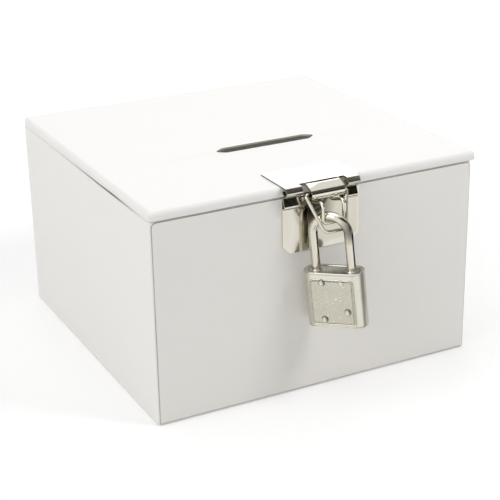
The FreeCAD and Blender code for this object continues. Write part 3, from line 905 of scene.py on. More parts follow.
# Paper round the walls: its near-black edge colour is painted shade in the seam under the lid, along the top
# of the left wall
PAINTED_SEAM_SHADE_PAPER = replace(CARD_PAPER, name="wrap_paper_painted_seam_shade", colour=(0.868, 0.849, 0.815),
                     edge_colour=(0.1, 0.095, 0.09), edge_share=0.85)
COVER_PAPER = replace(CARD_PAPER, name="cover_paper", colour=(0.868, 0.858, 0.838),
                      edge_colour=(0.8, 0.785, 0.755), edge_share=0.18)
LINING_PAPER = Finish("lining_paper", "lining_paper", (0.84, 0.83, 0.8), 0.75, Grain.FIBRE, 0.5 * MM,
                      0.03 * MM, tint_spread=0.04, specular=0.2)
GREY_BOARD = Finish("grey_board", "greyboard", (0.42, 0.4, 0.36), 0.85, Grain.FIBRE, 0.9 * MM, 0.08 * MM,
                    cloud_size=6 * MM, tint_spread=0.16, specular=0.15)
BOOK_CLOTH = Finish("book_cloth", "hinge_cloth", (0.84, 0.83, 0.8), 0.7, Grain.WEAVE, 0.7 * MM, 0.05 * MM,
                    tint_spread=0.05, specular=0.2)
BRIGHT_NICKEL = Finish("bright_nickel", "nickel_plate", (0.7, 0.665, 0.58), 0.11, Grain.LINES, 0.25 * MM,
                       0.0012 * MM, cloud_size=7 * MM, gloss_spread=0.05, metallic=1.0,
                       edge_colour=(0.9, 0.88, 0.83), edge_share=0.25)
# Base plate's nickel: a darker copy of the hasp's nickel, with a near-black patch of painted shade behind the
# wires, under the lid's roll
NICKEL_PAINTED_SHADE = replace(BRIGHT_NICKEL, name="nickel_painted_shade", colour=(0.575, 0.55, 0.465),
                         painted_dark_middle=(-4.0 * MM, -101.0 * MM, 109.5 * MM), painted_dark_reach=14 * MM)
# Lid plate's nickel: its cut ends are painted near black, partly bare steel and partly painted shade along
# the plate's sides
NICKEL_SHADED_CUT_ENDS = replace(BRIGHT_NICKEL, name="nickel_shaded_cut_ends", colour=(0.69, 0.66, 0.575),
                     edge_colour=(0.14, 0.13, 0.11), edge_share=0.9)
WIRE_NICKEL = Finish("wire_nickel", "nickel_wire", (0.67, 0.635, 0.55), 0.1, Grain.LINES, 0.3 * MM,
                     0.001 * MM, cloud_size=5 * MM, gloss_spread=0.05, metallic=1.0)
# Rim nickel: its near-black edge colour is painted shade at the rim's foot and in its throat
DULL_NICKEL = Finish("dull_nickel", "nickel_plate", (0.5, 0.5, 0.42), 0.5, Grain.LINES, 0.25 * MM, 0.002 * MM,
                     cloud_size=7 * MM, gloss_spread=0.05, metallic=0.4,
                     edge_colour=(0.06, 0.06, 0.05), edge_share=0.95)
ZINC_SHEET = Finish("zinc_sheet", "zinc_sheet", (0.6, 0.61, 0.62), 0.36, Grain.PEBBLE, 2.5 * MM, 0.01 * MM,
                    cloud_size=9 * MM, tint_spread=0.08, metallic=1.0)
# Shackle steel: its dark patch is a painted dark reflection on the outside of the crown, towards the toe
SHACKLE_STEEL = Finish("shackle_steel", "shackle_steel", (0.66, 0.625, 0.535), 0.11, Grain.LINES, 0.3 * MM,
                       0.0015 * MM, cloud_size=8 * MM, gloss_spread=0.05, metallic=1.0,
                       painted_dark_middle=(7.4 * MM, -122.4 * MM, 101.0 * MM), painted_dark_reach=9 * MM)
SATIN_NICKEL = Finish("satin_nickel", "lock_nickel", (0.625, 0.597, 0.487), 0.36, Grain.LINES, 0.2 * MM,
                      0.003 * MM, cloud_size=9 * MM, tint_spread=0.05, gloss_spread=0.06, metallic=1.0,
                      edge_colour=(0.86, 0.84, 0.78), edge_share=0.3)
# Cap nickel: a darker copy of the case's nickel as painted shade, with painted highlights along its edges
CAP_NICKEL_PAINTED_LIGHT = replace(SATIN_NICKEL, name="cap_nickel_painted_shade_and_highlight", colour=(0.375, 0.37, 0.325), roughness=0.27,
                     edge_share=0.6)
PEBBLED_NICKEL = Finish("pebbled_nickel", "lock_nickel", (0.587, 0.562, 0.475), 0.26, Grain.PEBBLE, 0.7 * MM,
                        0.12 * MM, cloud_size=7 * MM, tint_spread=0.1, gloss_spread=0.07, metallic=1.0,
                        edge_colour=(0.3, 0.29, 0.26), edge_share=0.3)
# Rivet nickel: its near-black edge colour paints shade and a dark reflection on each head, away from its
# unshaded spot
RIVET_NICKEL = Finish("rivet_nickel", "rivet_nickel", (0.74, 0.71, 0.64), 0.14, Grain.LINES, 0.2 * MM,
                      0.001 * MM, cloud_size=3 * MM, metallic=1.0,
                      edge_colour=(0.05, 0.05, 0.04), edge_share=0.85)
CUT_BRASS = Finish("cut_brass", "lock_brass", (0.7, 0.52, 0.24), 0.28, Grain.LINES, 0.2 * MM, 0.004 * MM,
                   cloud_size=4 * MM, tint_spread=0.08, metallic=1.0)
PLAIN_STEEL = Finish("plain_steel", "lock_steel", (0.5, 0.49, 0.47), 0.34, Grain.LINES, 0.2 * MM, 0.004 * MM,
                     cloud_size=4 * MM, tint_spread=0.08, metallic=1.0)


class FinishShop:
    """Keeps the node trees and gives each finish one material."""

    def __init__(self) -> None:
        """Build the shared trees."""
        self.groups = GrainGroups()
        self.wires = WireTree()
        self.rivets = RivetTree()
        self.pebbles = PebbleTree()
        self.made: dict[str, bpy.types.Material] = {}

    def material(self, finish: Finish) -> bpy.types.Material:
        """Give a finish's material, built on its first use.

        Args:
            finish: The finish.

        Returns:
            Its one material.
        """
        if finish.name not in self.made:
            self.made[finish.name] = finish.material(self.groups)
        return self.made[finish.name]


@dataclass
class SubAssembly:
    """Pieces that are built and dressed together."""

    shop: FinishShop

    def place(self, piece: Piece, finish: Finish, body: Union[Body, None], *nodes: str) -> None:
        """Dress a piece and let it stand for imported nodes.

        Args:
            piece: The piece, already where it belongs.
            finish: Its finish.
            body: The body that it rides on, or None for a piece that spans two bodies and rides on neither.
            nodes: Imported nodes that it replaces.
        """
        mark_edges(piece)
        piece.data.materials.clear()
        piece.data.materials.append(self.shop.material(finish))
        if body:
            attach(piece, body.value)
        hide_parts(*nodes)
        LOG.info("%s: %d faces for %s", piece.name, len(piece.data.polygons), ", ".join(nodes))

    def dress(self, finish: Finish, *nodes: str) -> None:
        """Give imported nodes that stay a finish.

        Args:
            finish: The finish.
            nodes: Names of the nodes.
        """
        for name in nodes:
            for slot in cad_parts[name].material_slots:
                slot.material = self.shop.material(finish)
            LOG.info("%s: packed node in %s", name, finish.name)


# Box and lid


@dataclass
class PaperBox(SubAssembly):
    """Board walls in covering paper, with a card on the front and a lining inside."""

    corner: float = 1.5 * MM
    paper: float = 0.4 * MM
    wall: float = 2.9 * MM
    lining: float = 0.3 * MM
    turn_in: float = 1.35 * MM
    top_round: float = 1.25 * MM
    seam_skew: float = 2.0
    seam_height: float = 1.1 * MM
    card_corner: float = 3.0 * MM
    card_round: float = 0.3 * MM
    card_flat: float = 0.5 * MM
    card_foot: float = 0.6 * MM
    card_steps: int = 4
    unevenness: float = 0.12 * MM
    wave: float = 45 * MM
    side_steps: int = 24

    def build(self) -> None:
        """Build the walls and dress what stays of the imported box."""
        self.place(self.wrap(), PAINTED_SEAM_SHADE_PAPER, Body.BOX, "outer_wrap")
        self.place(self.card(), CARD_PAPER, Body.BOX, "front_facing")
        self.dress(LINING_PAPER, "inner_lining", "under_sheet")
        self.dress(GREY_BOARD, "bottom_board", "front_board", "rear_board", "left_board", "right_board")

    def wrap(self) -> Piece:
        """Paper round the walls, turned over their top edges and down inside.

        Returns:
            A closed shell of paper.
        """
        low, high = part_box("outer_wrap")
        inside = self.wall + self.lining
        bend = self.top_round
        profile = [(0, low.z)]
        profile += arc((bend, high.z - bend), bend, 180, 90)
        profile += arc((inside - bend, high.z - bend), bend, 90, 0)
        profile += [(inside, high.z - self.turn_in), (self.wall, high.z - self.turn_in),
                    (self.wall, high.z - self.paper), (self.paper, high.z - self.paper), (self.paper, low.z)]
        skin = Skin()
        skin.tube([(x, y, z) for x, y in rectangle(low, high, inset, self.corner, self.side_steps)]
                  for inset, z in profile)
        piece = skin.piece("box_cover")
        ripple(piece, self.unevenness, self.wave, self.wave)
        self.paint_seam_shade(piece)
        return piece

    def paint_seam_shade(self, piece: Piece) -> None:
        """Store painted shade for the seam along the top of the left wall, darkest in front of its middle.

        Args:
            piece: The paper round the walls.
        """
        low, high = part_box("outer_wrap")
        values = []
        for vertex in piece.data.vertices:
            x, y, z = vertex.co
            share = min(max((high.y - y) / (high.y - low.y), 0.0), 1.0)
            in_seam = x < low.x + self.top_round and z > high.z - self.seam_height
            values.append(in_seam * math.sin(math.pi * share ** self.seam_skew) ** 2)
        store(piece, WEAR_AND_PAINTED_LIGHT_MARK, values)

    def card(self) -> Piece:
        """Covered card on the front, with soft edges and rounded top corners.

        Returns:
            A closed card.
        """
        low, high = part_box("front_facing")
        sharp = self.card_round
        corners = [(low.x, low.z), (high.x, low.z), (high.x, high.z), (low.x, high.z)]
        radii = [self.card_foot, self.card_foot, self.card_corner, self.card_corner]
        sections = [(0, high.y), *((sharp - back, low.y + sharp - out)
                                   for back, out in arc((0, 0), sharp, 0, 90, self.card_steps))]
        sections.append((self.card_flat, low.y))
        skin = Skin()
        rings = []
        for inset, y in sections:
            inner = [(x + math.copysign(inset, -x), z + (inset if z == low.z else -inset))
                     for x, z in corners]
            inner_radii = [max(radius - inset, sharp) for radius in radii]
            outline = rounded_outline(inner, inner_radii, self.side_steps)
            rings.append([(x, y, z) for x, z in outline])
        skin.solid(rings)
        return skin.piece("front_card")


@dataclass
class PaperLid(SubAssembly):
    """Board lid in covering paper with soft edges, a lining and the slot's hole."""

    corner: float = 3.0 * MM
    paper: float = 0.4 * MM
    lining_edge: float = 0.75 * MM
    lining: float = 0.3 * MM
    low_round: float = 0.35 * MM
    top_round: float = 2.6 * MM
    round_steps: int = 12
    flat_from: float = 12.0 * MM
    top_steps: int = 8
    unevenness: float = 0.22 * MM
    wave: float = 26 * MM
    side_steps: int = 60
    slot_gap: float = 0.4 * MM

    def build(self, slot: "MoneySlot") -> None:
        """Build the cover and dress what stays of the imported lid.

        Args:
            slot: The money slot, whose outline is left open.
        """
        self.place(self.cover(slot), COVER_PAPER, Body.LID, "lid_wrap")
        self.place(self.core(slot), GREY_BOARD, Body.LID, "lid_board")
        self.dress(LINING_PAPER, "lid_lining")

    def cover(self, slot: "MoneySlot") -> Piece:
        """Paper over the top and edges of the lid, turned in under it.

        Args:
            slot: The money slot, whose outline is left open.

        Returns:
            A closed shell of paper.
        """
        low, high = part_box("lid_wrap")
        foot = low.z - self.lining
        bend = self.top_round
        outer = [(self.lining_edge, foot)]
        outer += arc((self.low_round, foot + self.low_round), self.low_round, 270, 180)
        outer += arc((bend, high.z - bend), bend, 180, 90, self.round_steps)
        outer += [(bend + (self.flat_from - bend) * step / self.top_steps, high.z)
                  for step in range(1, self.top_steps + 1)]
        inner = [(self.lining_edge, low.z), *self.core_profile()]
        skin = Skin()
        top, under = [skin.chain(self.rings(profile)) for profile in (outer, inner)]
        hole = skin.chain(self.hole(slot, outer[-1][1], inner[-1][1]))
        skin.fill(top[-1], hole[0])
        skin.fill(under[-1], hole[1])
        skin.strip(top[0], under[0])
        piece = skin.piece("lid_cover")
        ripple(piece, self.unevenness, self.wave, self.flat_from)
        return piece

    def core(self, slot: "MoneySlot") -> Piece:
        """Board that fills the cover.

        Args:
            slot: The money slot, whose outline is left open.

        Returns:
            A closed board with the slot's hole through it.
        """
        profile = self.core_profile()
        skin = Skin()
        side = skin.chain(self.rings(profile))
        hole = skin.chain(self.hole(slot, profile[0][1], profile[-1][1]))
        skin.fill(side[0], hole[0])
        skin.fill(side[-1], hole[1])
        piece = skin.piece("lid_core")
        ripple(piece, self.unevenness, self.wave, self.flat_from)
        return piece

    def core_profile(self) -> Flat:
        """Draw the board's rounded edge.

        Returns:
            Inset and height along it, from below to above.
        """
        low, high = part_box("lid_wrap")
        bend = self.top_round
        edge = arc((bend, high.z - bend), bend - self.paper, 180, 90, self.round_steps)
        return [(self.paper, low.z), *edge, (self.flat_from, high.z - self.paper)]

    def hole(self, slot: "MoneySlot", *levels: float) -> list[list[Spot]]:
        """Draw the hole for the money slot at each height."""
        return [[(x, y, z) for x, y in slot.outline(self.slot_gap)] for z in levels]

    def rings(self, profile: Flat) -> list[list[Spot]]:
        """Draw the lid's outline at each inset and height of a profile."""
        low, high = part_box("lid_wrap")
        return [[(x, y, z) for x, y in rectangle(low, high, inset, self.corner, self.side_steps)]
                for inset, z in profile]


@dataclass
class MoneySlot(SubAssembly):
    """Nickel rim with a throat through the lid and a ring that clinches it below."""

    taper: float = 5.0 * MM
    rim: float = 1.3 * MM
    throat: float = 0.4 * MM
    throat_top: float = 0.3 * MM
    throat_painted_shade: float = 0.4
    crest_steps: int = 10
    painted_shade_end: float = 0.85
    painted_shade_fade: float = 0.25
    corners: tuple[float, ...] = (1.0 * MM, 0.5 * MM, 0.5 * MM, 0.5 * MM, 0.5 * MM, 0.5 * MM)
    side_steps: int = 8

    def outline(self, grow: float) -> Flat:
        """Draw the slot's outline with tapered ends.

        Args:
            grow: How far the outline lies outside the clear slot.

        Returns:
            Points round the slot.
        """
        low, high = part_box("slot_bezel")
        middle = (low + high) / 2
        half = (high.x - low.x) / 2 - self.rim + grow
        side = (high.y - low.y) / 2 - self.rim + grow
        flat = half - self.taper
        corners = [(-half, 0), (-flat, -side), (flat, -side), (half, 0), (flat, side), (-flat, side)]
        around = [(middle.x + x, middle.y + y) for x, y in corners]
        return rounded_outline(around, self.corners, self.side_steps)

    def build(self) -> None:
        """Build the rim and the ring."""
        self.place(self.rim_piece(), DULL_NICKEL, Body.LID, "slot_bezel")
        self.dress(ZINC_SHEET, "slot_clinch_ring")

    def rim_piece(self) -> Piece:
        """Rim with a rolled edge, in one piece with its throat, with painted shade at its foot and inside.

        Returns:
            A closed ring.
        """
        low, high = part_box("slot_bezel")
        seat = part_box("lid_wrap")[1].z
        rise = high.z - seat
        bend = self.rim / 2
        # Each ring carries its painted shade: full at the foot and on the crest's outer side, gone at the
        # inner lip, darker again down the throat
        profile = [(self.rim, seat, 1.0)]
        for step, (x, z) in enumerate(arc((0, 0), bend, 0, 180, self.crest_steps)):
            painted_shade = (self.painted_shade_end - step / self.crest_steps) / self.painted_shade_fade
            profile.append((bend + x, seat + z * rise / bend, min(max(painted_shade, 0.0), 1.0)))
        profile.append((0, seat - self.throat_top, self.throat_painted_shade))
        profile += [(0, low.z, 1.0), (self.throat, low.z, 1.0), (self.throat, seat, 1.0)]
        skin = Skin()
        skin.tube([(x, y, z) for x, y in self.outline(grow)] for grow, z, _ in profile)
        piece = skin.piece("slot_rim")
        count = len(piece.data.vertices) // len(profile)
        store(piece, WEAR_AND_PAINTED_LIGHT_MARK, [painted_shade for _, _, painted_shade in profile for _ in range(count)])
        return piece


@dataclass
class ClothHinge(SubAssembly):
    """Strip of book cloth glued to the rear wall and to the lid's edge."""

    rounding: float = 0.12 * MM
    steps: int = 60
    side_steps: int = 40

    def build(self) -> None:
        """Build the strip, with many rings across the gap where the lid turns."""
        wall_low, wall_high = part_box("hinge_leaf_wall")
        lid_low, lid_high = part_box("hinge_leaf_lid")
        levels = [wall_low.z, wall_high.z]
        bend = lid_low.z - wall_high.z
        levels += [wall_high.z + bend * step / self.steps for step in range(1, self.steps)]
        levels += [lid_low.z, lid_high.z]
        skin = Skin()
        outline = rectangle(wall_low, wall_high, 0, self.rounding, self.side_steps)
        skin.solid([(x, y, z) for x, y in outline] for z in levels)
        piece = skin.piece("hinge_cloth")
        self.place(piece, BOOK_CLOTH, None, "hinge_leaf_wall", "hinge_leaf_lid")
        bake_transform(piece)


# Hasp


@dataclass
class Hasp(SubAssembly):
    """Plate with a rolled edge on the lid, plate on the front, wire bail and wire staple."""

    sheet: float = 0.8 * MM
    edge: float = 0.12 * MM
    notch_inner: float = 10.2 * MM
    notch_outer: float = 14.05 * MM
    roll: float = 2.5 * MM
    roll_gap: float = 0.2 * MM
    roll_end: float = 2.2 * MM
    roll_sides: tuple[float, ...] = (90.0, 30.0, -50.0, -120.0, -180.0)
    roll_bends: tuple[float, ...] = (0.8 * MM, 0.6 * MM, 1.6 * MM, 1.6 * MM)
    tongue_step: float = 0.45 * MM
    tongue_slope: float = 30.0
    knuckle: float = 3.2 * MM
    knuckle_end: float = 330.0
    knuckle_steps: int = 40
    base_roll_width: float = 11.0 * MM
    base_roll_height: float = 6.9 * MM
    base_nose: float = 1.7 * MM
    base_fold: float = 0.9 * MM
    base_curl_end: float = 300.0
    fold_steps: int = 20
    corner_cut: float = 4.5 * MM
    prong_width: float = 4.0 * MM
    prong_spread: float = 30.0 * MM
    prong_from_edge: float = 11.0 * MM
    prong_fold: float = 3.0 * MM
    wire: float = 1.9 * MM
    bail_width: float = 25.5 * MM
    bail_foot: float = 13.4 * MM
    bail_bend: float = 1.25 * MM
    bail_foot_bend: float = 4.2 * MM
    bail_seam: float = 0.08 * MM
    staple_width: float = 12.8 * MM
    staple_rise: float = 3.6 * MM
    staple_height: float = 12.0 * MM
    staple_bends: tuple[float, ...] = (1.15 * MM, 2.5 * MM, 2.5 * MM, 2.6 * MM)
    staple_leg_from_plate: float = 1.9 * MM
    clinch: float = 5.0 * MM

    def build(self) -> None:
        """Build the plates and wires."""
        self.place(self.lid_plate(), NICKEL_SHADED_CUT_ENDS, Body.LID, "lid_plate")
        self.place(self.base_plate(), NICKEL_PAINTED_SHADE, Body.BOX, "base_plate")
        self.place(self.bail(), WIRE_NICKEL, Body.BAIL, "bail_wire")
        self.place(self.staple(), WIRE_NICKEL, Body.BOX, "staple_wire")
        self.dress(ZINC_SHEET, "base_backing_plate", "lid_backing_plate")

    def middle(self) -> float:
        """Middle of the hasp across the box."""
        low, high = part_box("lid_plate")
        return (low.x + high.x) / 2

    def prong_sides(self) -> list[tuple[float, float]]:
        """Left and right side of each prong."""
        centres = [self.middle() + side * self.prong_spread / 2 for side in (-1, 1)]
        return [(centre - self.prong_width / 2, centre + self.prong_width / 2) for centre in centres]

    def lid_plate(self) -> Piece:
        """Sheet on the lid, rolled at each end of its front edge, with a knuckle between and folded prongs.

        Returns:
            The plate.
        """
        low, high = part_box("lid_plate")
        lid_low, lid_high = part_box("lid_wrap")
        edge = lid_low.y - self.roll_gap / 2
        flat = [(edge, lid_high.z), (high.y, lid_high.z), (high.y, high.z), (edge, high.z)]
        piece = drawn_out("lid_hasp_plate", flat, low.x, high.x)
        middle = self.middle()
        parts = [(self.roll_line(), low.x, middle - self.notch_outer),
                 (self.roll_line(), middle + self.notch_outer, high.x - self.roll_end),
                 (self.knuckle_line(), middle - self.notch_inner, middle + self.notch_inner)]
        rolls = [drawn_out("tool", band(line, self.sheet), x0, x1) for line, x0, x1 in parts]
        carve(piece, rolls, Carve.JOIN)
        root = lid_high.z + self.sheet / 2
        foot = low.z + self.sheet
        front = lid_low.y + self.prong_from_edge
        rear, tip = front + self.sheet, front + self.prong_fold
        outline = [(front, root), (front, low.z), (tip, low.z), (tip, foot), (rear, foot), (rear, root)]
        prongs = [drawn_out("tool", outline, x0, x1) for x0, x1 in self.prong_sides()]
        carve(piece, prongs, Carve.JOIN)
        ease_edges(piece, self.edge)
        mark_cut_ends(piece)
        return piece

    def base_plate(self) -> Piece:
        """Sheet on the front, folded over at each top end, with cut lower corners and folded prongs.

        Returns:
            The plate.
        """
        low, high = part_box("base_plate")
        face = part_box("front_facing")[0].y
        piece = drawn_out("base_hasp_plate", band(self.base_line(), self.sheet), low.x, high.x)
        inner = (low.x + self.base_roll_width, high.x - self.base_roll_width)
        shoulder = high.z - self.base_fold
        for x0, x1 in (inner, (high.x - self.roll_end, high.x + self.sheet)):
            carve(piece, [block((x0, low.y - self.sheet, low.z + self.corner_cut),
                                (x1, face - self.sheet, high.z + self.sheet)),
                          block((x0, low.y, shoulder), (x1, high.y, high.z + self.sheet))])
        carve(piece, [block((inner[0], face - self.sheet, shoulder - self.sheet), (inner[1], face, high.z))],
              Carve.JOIN)
        cut = self.corner_cut / math.sqrt(2)
        eighth_turn = Matrix.Rotation(math.pi / 4, 4, "Y")
        carve(piece, [block((-cut, -self.roll, -cut), (cut, self.roll, cut),
                            Matrix.Translation((x, face, low.z)) @ eighth_turn) for x in (low.x, high.x)])
        root = face - self.sheet / 2
        foot = high.y - self.sheet
        level = low.z + self.prong_from_edge
        below, tip = level - self.sheet, level - self.prong_fold
        outline = [(root, level), (high.y, level), (high.y, tip), (foot, tip), (foot, below), (root, below)]
        prongs = [drawn_out("tool", outline, x0, x1) for x0, x1 in self.prong_sides()]
        carve(piece, prongs, Carve.JOIN)
        ease_edges(piece, self.edge)
        return piece

    def roll_line(self) -> Flat:
        """Draw the middle of the sheet along an end roll, which is flattened towards the front.

        Returns:
            Points from the lid's edge round the roll.
        """
        top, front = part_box("lid_plate")[1].z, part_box("lid_wrap")[0].y
        reach = self.roll - self.sheet / 2
        middle = Vector((0, front - self.roll_gap - self.roll, top - self.roll))
        corners = [Vector((0, front, middle.z + reach))]
        for first, second in zip(self.roll_sides, self.roll_sides[1:]):
            turn = math.radians((first + second) / 2)
            far = reach / math.cos(math.radians(first - second) / 2)
            corners.append(middle + Vector((0, -math.cos(turn), math.sin(turn))) * far)
        corners.append(middle + Vector((0, reach, 0)))
        return [(point.y, point.z) for point in bent_line(corners, self.roll_bends)]

    def knuckle_line(self) -> Flat:
        """Draw the middle of the sheet along the tongue, which slopes down to the knuckle round the bar.

        Returns:
            Points from the lid's edge round the knuckle.
        """
        top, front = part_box("lid_plate")[1].z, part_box("lid_wrap")[0].y
        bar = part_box("bail_wire")[1]
        axis = (bar.y - self.wire / 2, bar.z - self.wire / 2)
        level = top - self.sheet / 2 - self.tongue_step
        curl = arc(axis, self.knuckle - self.sheet / 2, 90 + self.tongue_slope, self.knuckle_end,
                   self.knuckle_steps)
        return [(front, level), (front - self.roll_gap - self.roll, level), *curl]

    def base_line(self) -> Flat:
        """Draw the middle of the base plate's sheet, up the front, over the fold and round the nose.

        Returns:
            Points from the plate's foot to the end of the nose.
        """
        low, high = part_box("base_plate")
        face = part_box("front_facing")[0].y
        fold = (face - self.base_fold, high.z - self.base_fold)
        nose = (face - self.base_nose, high.z - self.base_roll_height + self.base_nose)
        lean = 2 * math.degrees(math.atan2(self.base_nose - self.base_fold, fold[1] - nose[1]))
        half = self.sheet / 2
        return [(face - half, low.z), *arc(fold, self.base_fold - half, 0, 180 - lean, self.fold_steps),
                *arc(nose, self.base_nose - half, 180 - lean, self.base_curl_end, self.fold_steps)]

    def bail(self) -> Piece:
        """Wire whose bar lies in the knuckle and whose two legs close in to a flat foot.

        Returns:
            The bail.
        """
        low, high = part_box("bail_wire")
        radius = self.wire / 2
        half, foot = self.bail_width / 2, self.bail_foot / 2
        top_y, top_z = high.y - radius, high.z - radius
        foot_y, foot_z = low.y + radius, low.z + radius
        corners = [(-self.bail_seam, top_y, top_z), (-half, top_y, top_z), (-foot, foot_y, foot_z),
                   (foot, foot_y, foot_z), (half, top_y, top_z), (self.bail_seam, top_y, top_z)]
        line = bent_line([Vector((self.middle() + x, y, z)) for x, y, z in corners],
                         [self.bail_bend, self.bail_foot_bend, self.bail_foot_bend, self.bail_bend])
        return self.shop.wires.draw("bail_loop", line, radius, self.shop.material(WIRE_NICKEL))

    def staple(self) -> Piece:
        """Wire eye whose legs go through the wall and are turned over inside.

        Returns:
            The staple.
        """
        low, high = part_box("staple_wire")
        radius = self.wire / 2
        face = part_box("front_facing")[0].y - self.sheet
        inside, out = high.y - radius, low.y + radius
        foot_z = low.z + radius
        top_z = foot_z + self.staple_height
        leg_z = top_z - self.staple_rise
        one_side = [(inside, leg_z - self.clinch), (inside, leg_z),
                    (face - self.staple_leg_from_plate, leg_z), (out, top_z), (out, foot_z)]
        corners = [(-self.staple_width / 2, y, z) for y, z in one_side]
        corners += [(self.staple_width / 2, y, z) for y, z in reversed(one_side)]
        line = bent_line([Vector((self.middle() + x, y, z)) for x, y, z in corners],
                         [*self.staple_bends, *self.staple_bends[::-1]])
        return self.shop.wires.draw("staple_eye", line, radius, self.shop.material(WIRE_NICKEL))


# Padlock


@dataclass
class Padlock(SubAssembly):
    """Nickel padlock, drawn upright round the middle of its shackle's crown and then hung on the staple."""

    crown: Spot = (-1.2 * MM, -113.93 * MM, 97.45 * MM)
    yaw: float = -50.6
    swing: float = -5.7
    width: float = 33.6 * MM
    height: float = 32.4 * MM
    thickness: float = 13.4 * MM
    corner: float = 6.0 * MM
    side_steps: int = 6
    corner_steps: int = 14
    plate: float = 1.0 * MM
    rim: float = 0.35 * MM
    rim_width: float = 1.3 * MM
    rim_drop: float = 0.4 * MM
    base_round: float = 0.8 * MM
    base_steps: int = 8
    edge: float = 0.3 * MM
    edge_steps: int = 5
    fine_edge: float = 0.1 * MM
    wire: float = 5.0 * MM
    wire_sides: int = 56
    crown_steps: int = 40
    spread: float = 20.4 * MM
    clear: float = 27.9 * MM
    play: float = 0.15 * MM
    heel: float = 25.5 * MM
    toe: float = 6.5 * MM
    # A notch and a flat, as depth into the bar, and lower and upper end counted up from the case's top
    toe_notch: tuple[float, float, float] = (1.1 * MM, -5.0 * MM, -0.9 * MM)
    heel_flat: tuple[float, float, float] = (0.9 * MM, -24.95 * MM, -15.55 * MM)
    face_margin: float = 4.0 * MM
    face_border: float = 2.6 * MM
    face_foot: float = 1.0 * MM
    face_corner: float = 2.5 * MM
    bead: float = 0.9 * MM
    bead_height: float = 0.4 * MM
    bead_steps: int = 10
    groove: float = 0.35 * MM
    face_floor: float = 0.25 * MM
    field_rings: int = 56
    field_steps: int = 56
    pebble_size: float = 1.0 * MM
    pebble_height: float = 0.5 * MM
    pebble_seed: float = 3.0
    rivet_head: float = 2.0 * MM
    rivet_dome: float = 1.0 * MM
    rivet_flush: float = 0.2 * MM
    rivet_rear: float = 0.35 * MM
    # The place of the spot without painted shade and the reach of the painted shade and dark reflection, in
    # shares of the head's radius
    rivet_spot: tuple[float, float] = (-0.3, -0.3)
    rivet_unshaded: float = 0.45
    rivet_painted_shade: float = 1.0
    plug: float = 3.6 * MM
    plug_offset: float = 1.5 * MM
    collar: float = 0.75 * MM
    collar_height: float = 0.3 * MM
    # Places of the rivets across the case and counted up from its top, in millimetres
    dome_rivets: tuple[tuple[float, float], ...] = ((-5.2, -5.6), (-5.1, -26.9), (8.5, -22.1))
    flush_rivets: tuple[tuple[float, float], ...] = ((6.0, -5.5),)

    def hung(self) -> Matrix:
        """Find where the upright padlock hangs.

        Returns:
            Its place and turn in the frame.
        """
        yaw = Matrix.Rotation(math.radians(self.yaw), 4, "Z")
        swing = Matrix.Rotation(math.radians(self.swing), 4, "Y")
        return Matrix.Translation(self.crown) @ yaw @ swing

    def top(self) -> float:
        """Height of the case's top, counted up from the middle of the crown."""
        return self.spread / 2 - self.wire / 2 - self.clear

    def build(self) -> None:
        """Build the padlock's pieces and dress its works."""
        self.place(self.shackle(), SHACKLE_STEEL, Body.SHACKLE, "shackle")
        self.place(self.case(), SATIN_NICKEL, Body.LOCK, "lock_case")
        self.place(self.top_plate(), CAP_NICKEL_PAINTED_LIGHT, Body.LOCK, "lock_top_plate")
        self.place(self.bottom_plate(), SATIN_NICKEL, Body.LOCK, "lock_bottom_plate")
        self.place(self.face(Side.FRONT), PEBBLED_NICKEL, Body.LOCK, "lock_face_front")
        self.place(self.face(Side.REAR), PEBBLED_NICKEL, Body.LOCK, "lock_face_rear")
        self.place(self.rivets(), RIVET_NICKEL, Body.LOCK, "lock_rivets")
        self.dress(CUT_BRASS, "lock_core", "lock_plug", "key_pins", "driver_pins")
        self.dress(PLAIN_STEEL, "heel_pin", "shackle_spring", "driver_springs", "locking_bolt")

    def oval(self, inset: float, z: float) -> list[Spot]:
        """Draw the case's outline at a height.

        Args:
            inset: How far it lies inside the sleeve.
            z: Height counted from the case's top.

        Returns:
            Points round the outline.
        """
        corners = [(x * (self.width / 2 - inset), y * (self.thickness / 2 - inset)) for x, y in CORNER_SIGNS]
        outline = rounded_outline(corners, [self.corner - inset] * len(corners), self.side_steps,
                                  self.corner_steps)
        return [(x, y, self.top() + z) for x, y in outline]

    def legs(self) -> tuple[float, float]:
        """Place of the heel and of the toe across the padlock."""
        return -self.spread / 2, self.spread / 2

    def shackle(self) -> Piece:
        """Bent bar with a long heel and a short toe, notched for the bolt and flattened at the heel.

        Returns:
            The shackle.
        """
        heel_x, toe_x = self.legs()
        line = [Vector((heel_x, 0, self.top() - self.heel))]
        line += [Vector((x, 0, z)) for x, z in arc((0, 0), self.spread / 2, 180, 0, self.crown_steps)]
        line.append(Vector((toe_x, 0, self.top() - self.toe)))
        radius = self.wire / 2
        piece = self.shop.wires.draw("shackle_bar", line, radius, self.shop.material(SHACKLE_STEEL),
                                     self.wire_sides)
        depth, low, high = self.toe_notch
        notch = block((toe_x - self.wire, -self.wire, self.top() + low),
                      (toe_x - radius + depth, self.wire, self.top() + high))
        depth, low, high = self.heel_flat
        flat = block((heel_x + radius - depth, -self.wire, self.top() + low),
                     (heel_x + self.wire, self.wire, self.top() + high))
        carve(piece, [notch, flat])
        piece.data.transform(self.hung())
        return piece

    def case(self) -> Piece:
        """Drawn sleeve with eased edges.

        Returns:
            A closed sleeve.
        """
        high, low = -self.plate, self.plate - self.height
        skin = Skin()
        skin.solid([self.oval(self.edge, low), self.oval(0, low + self.edge), self.oval(0, high - self.edge),
                    self.oval(self.edge, high)])
        return skin.piece("lock_sleeve", self.hung())

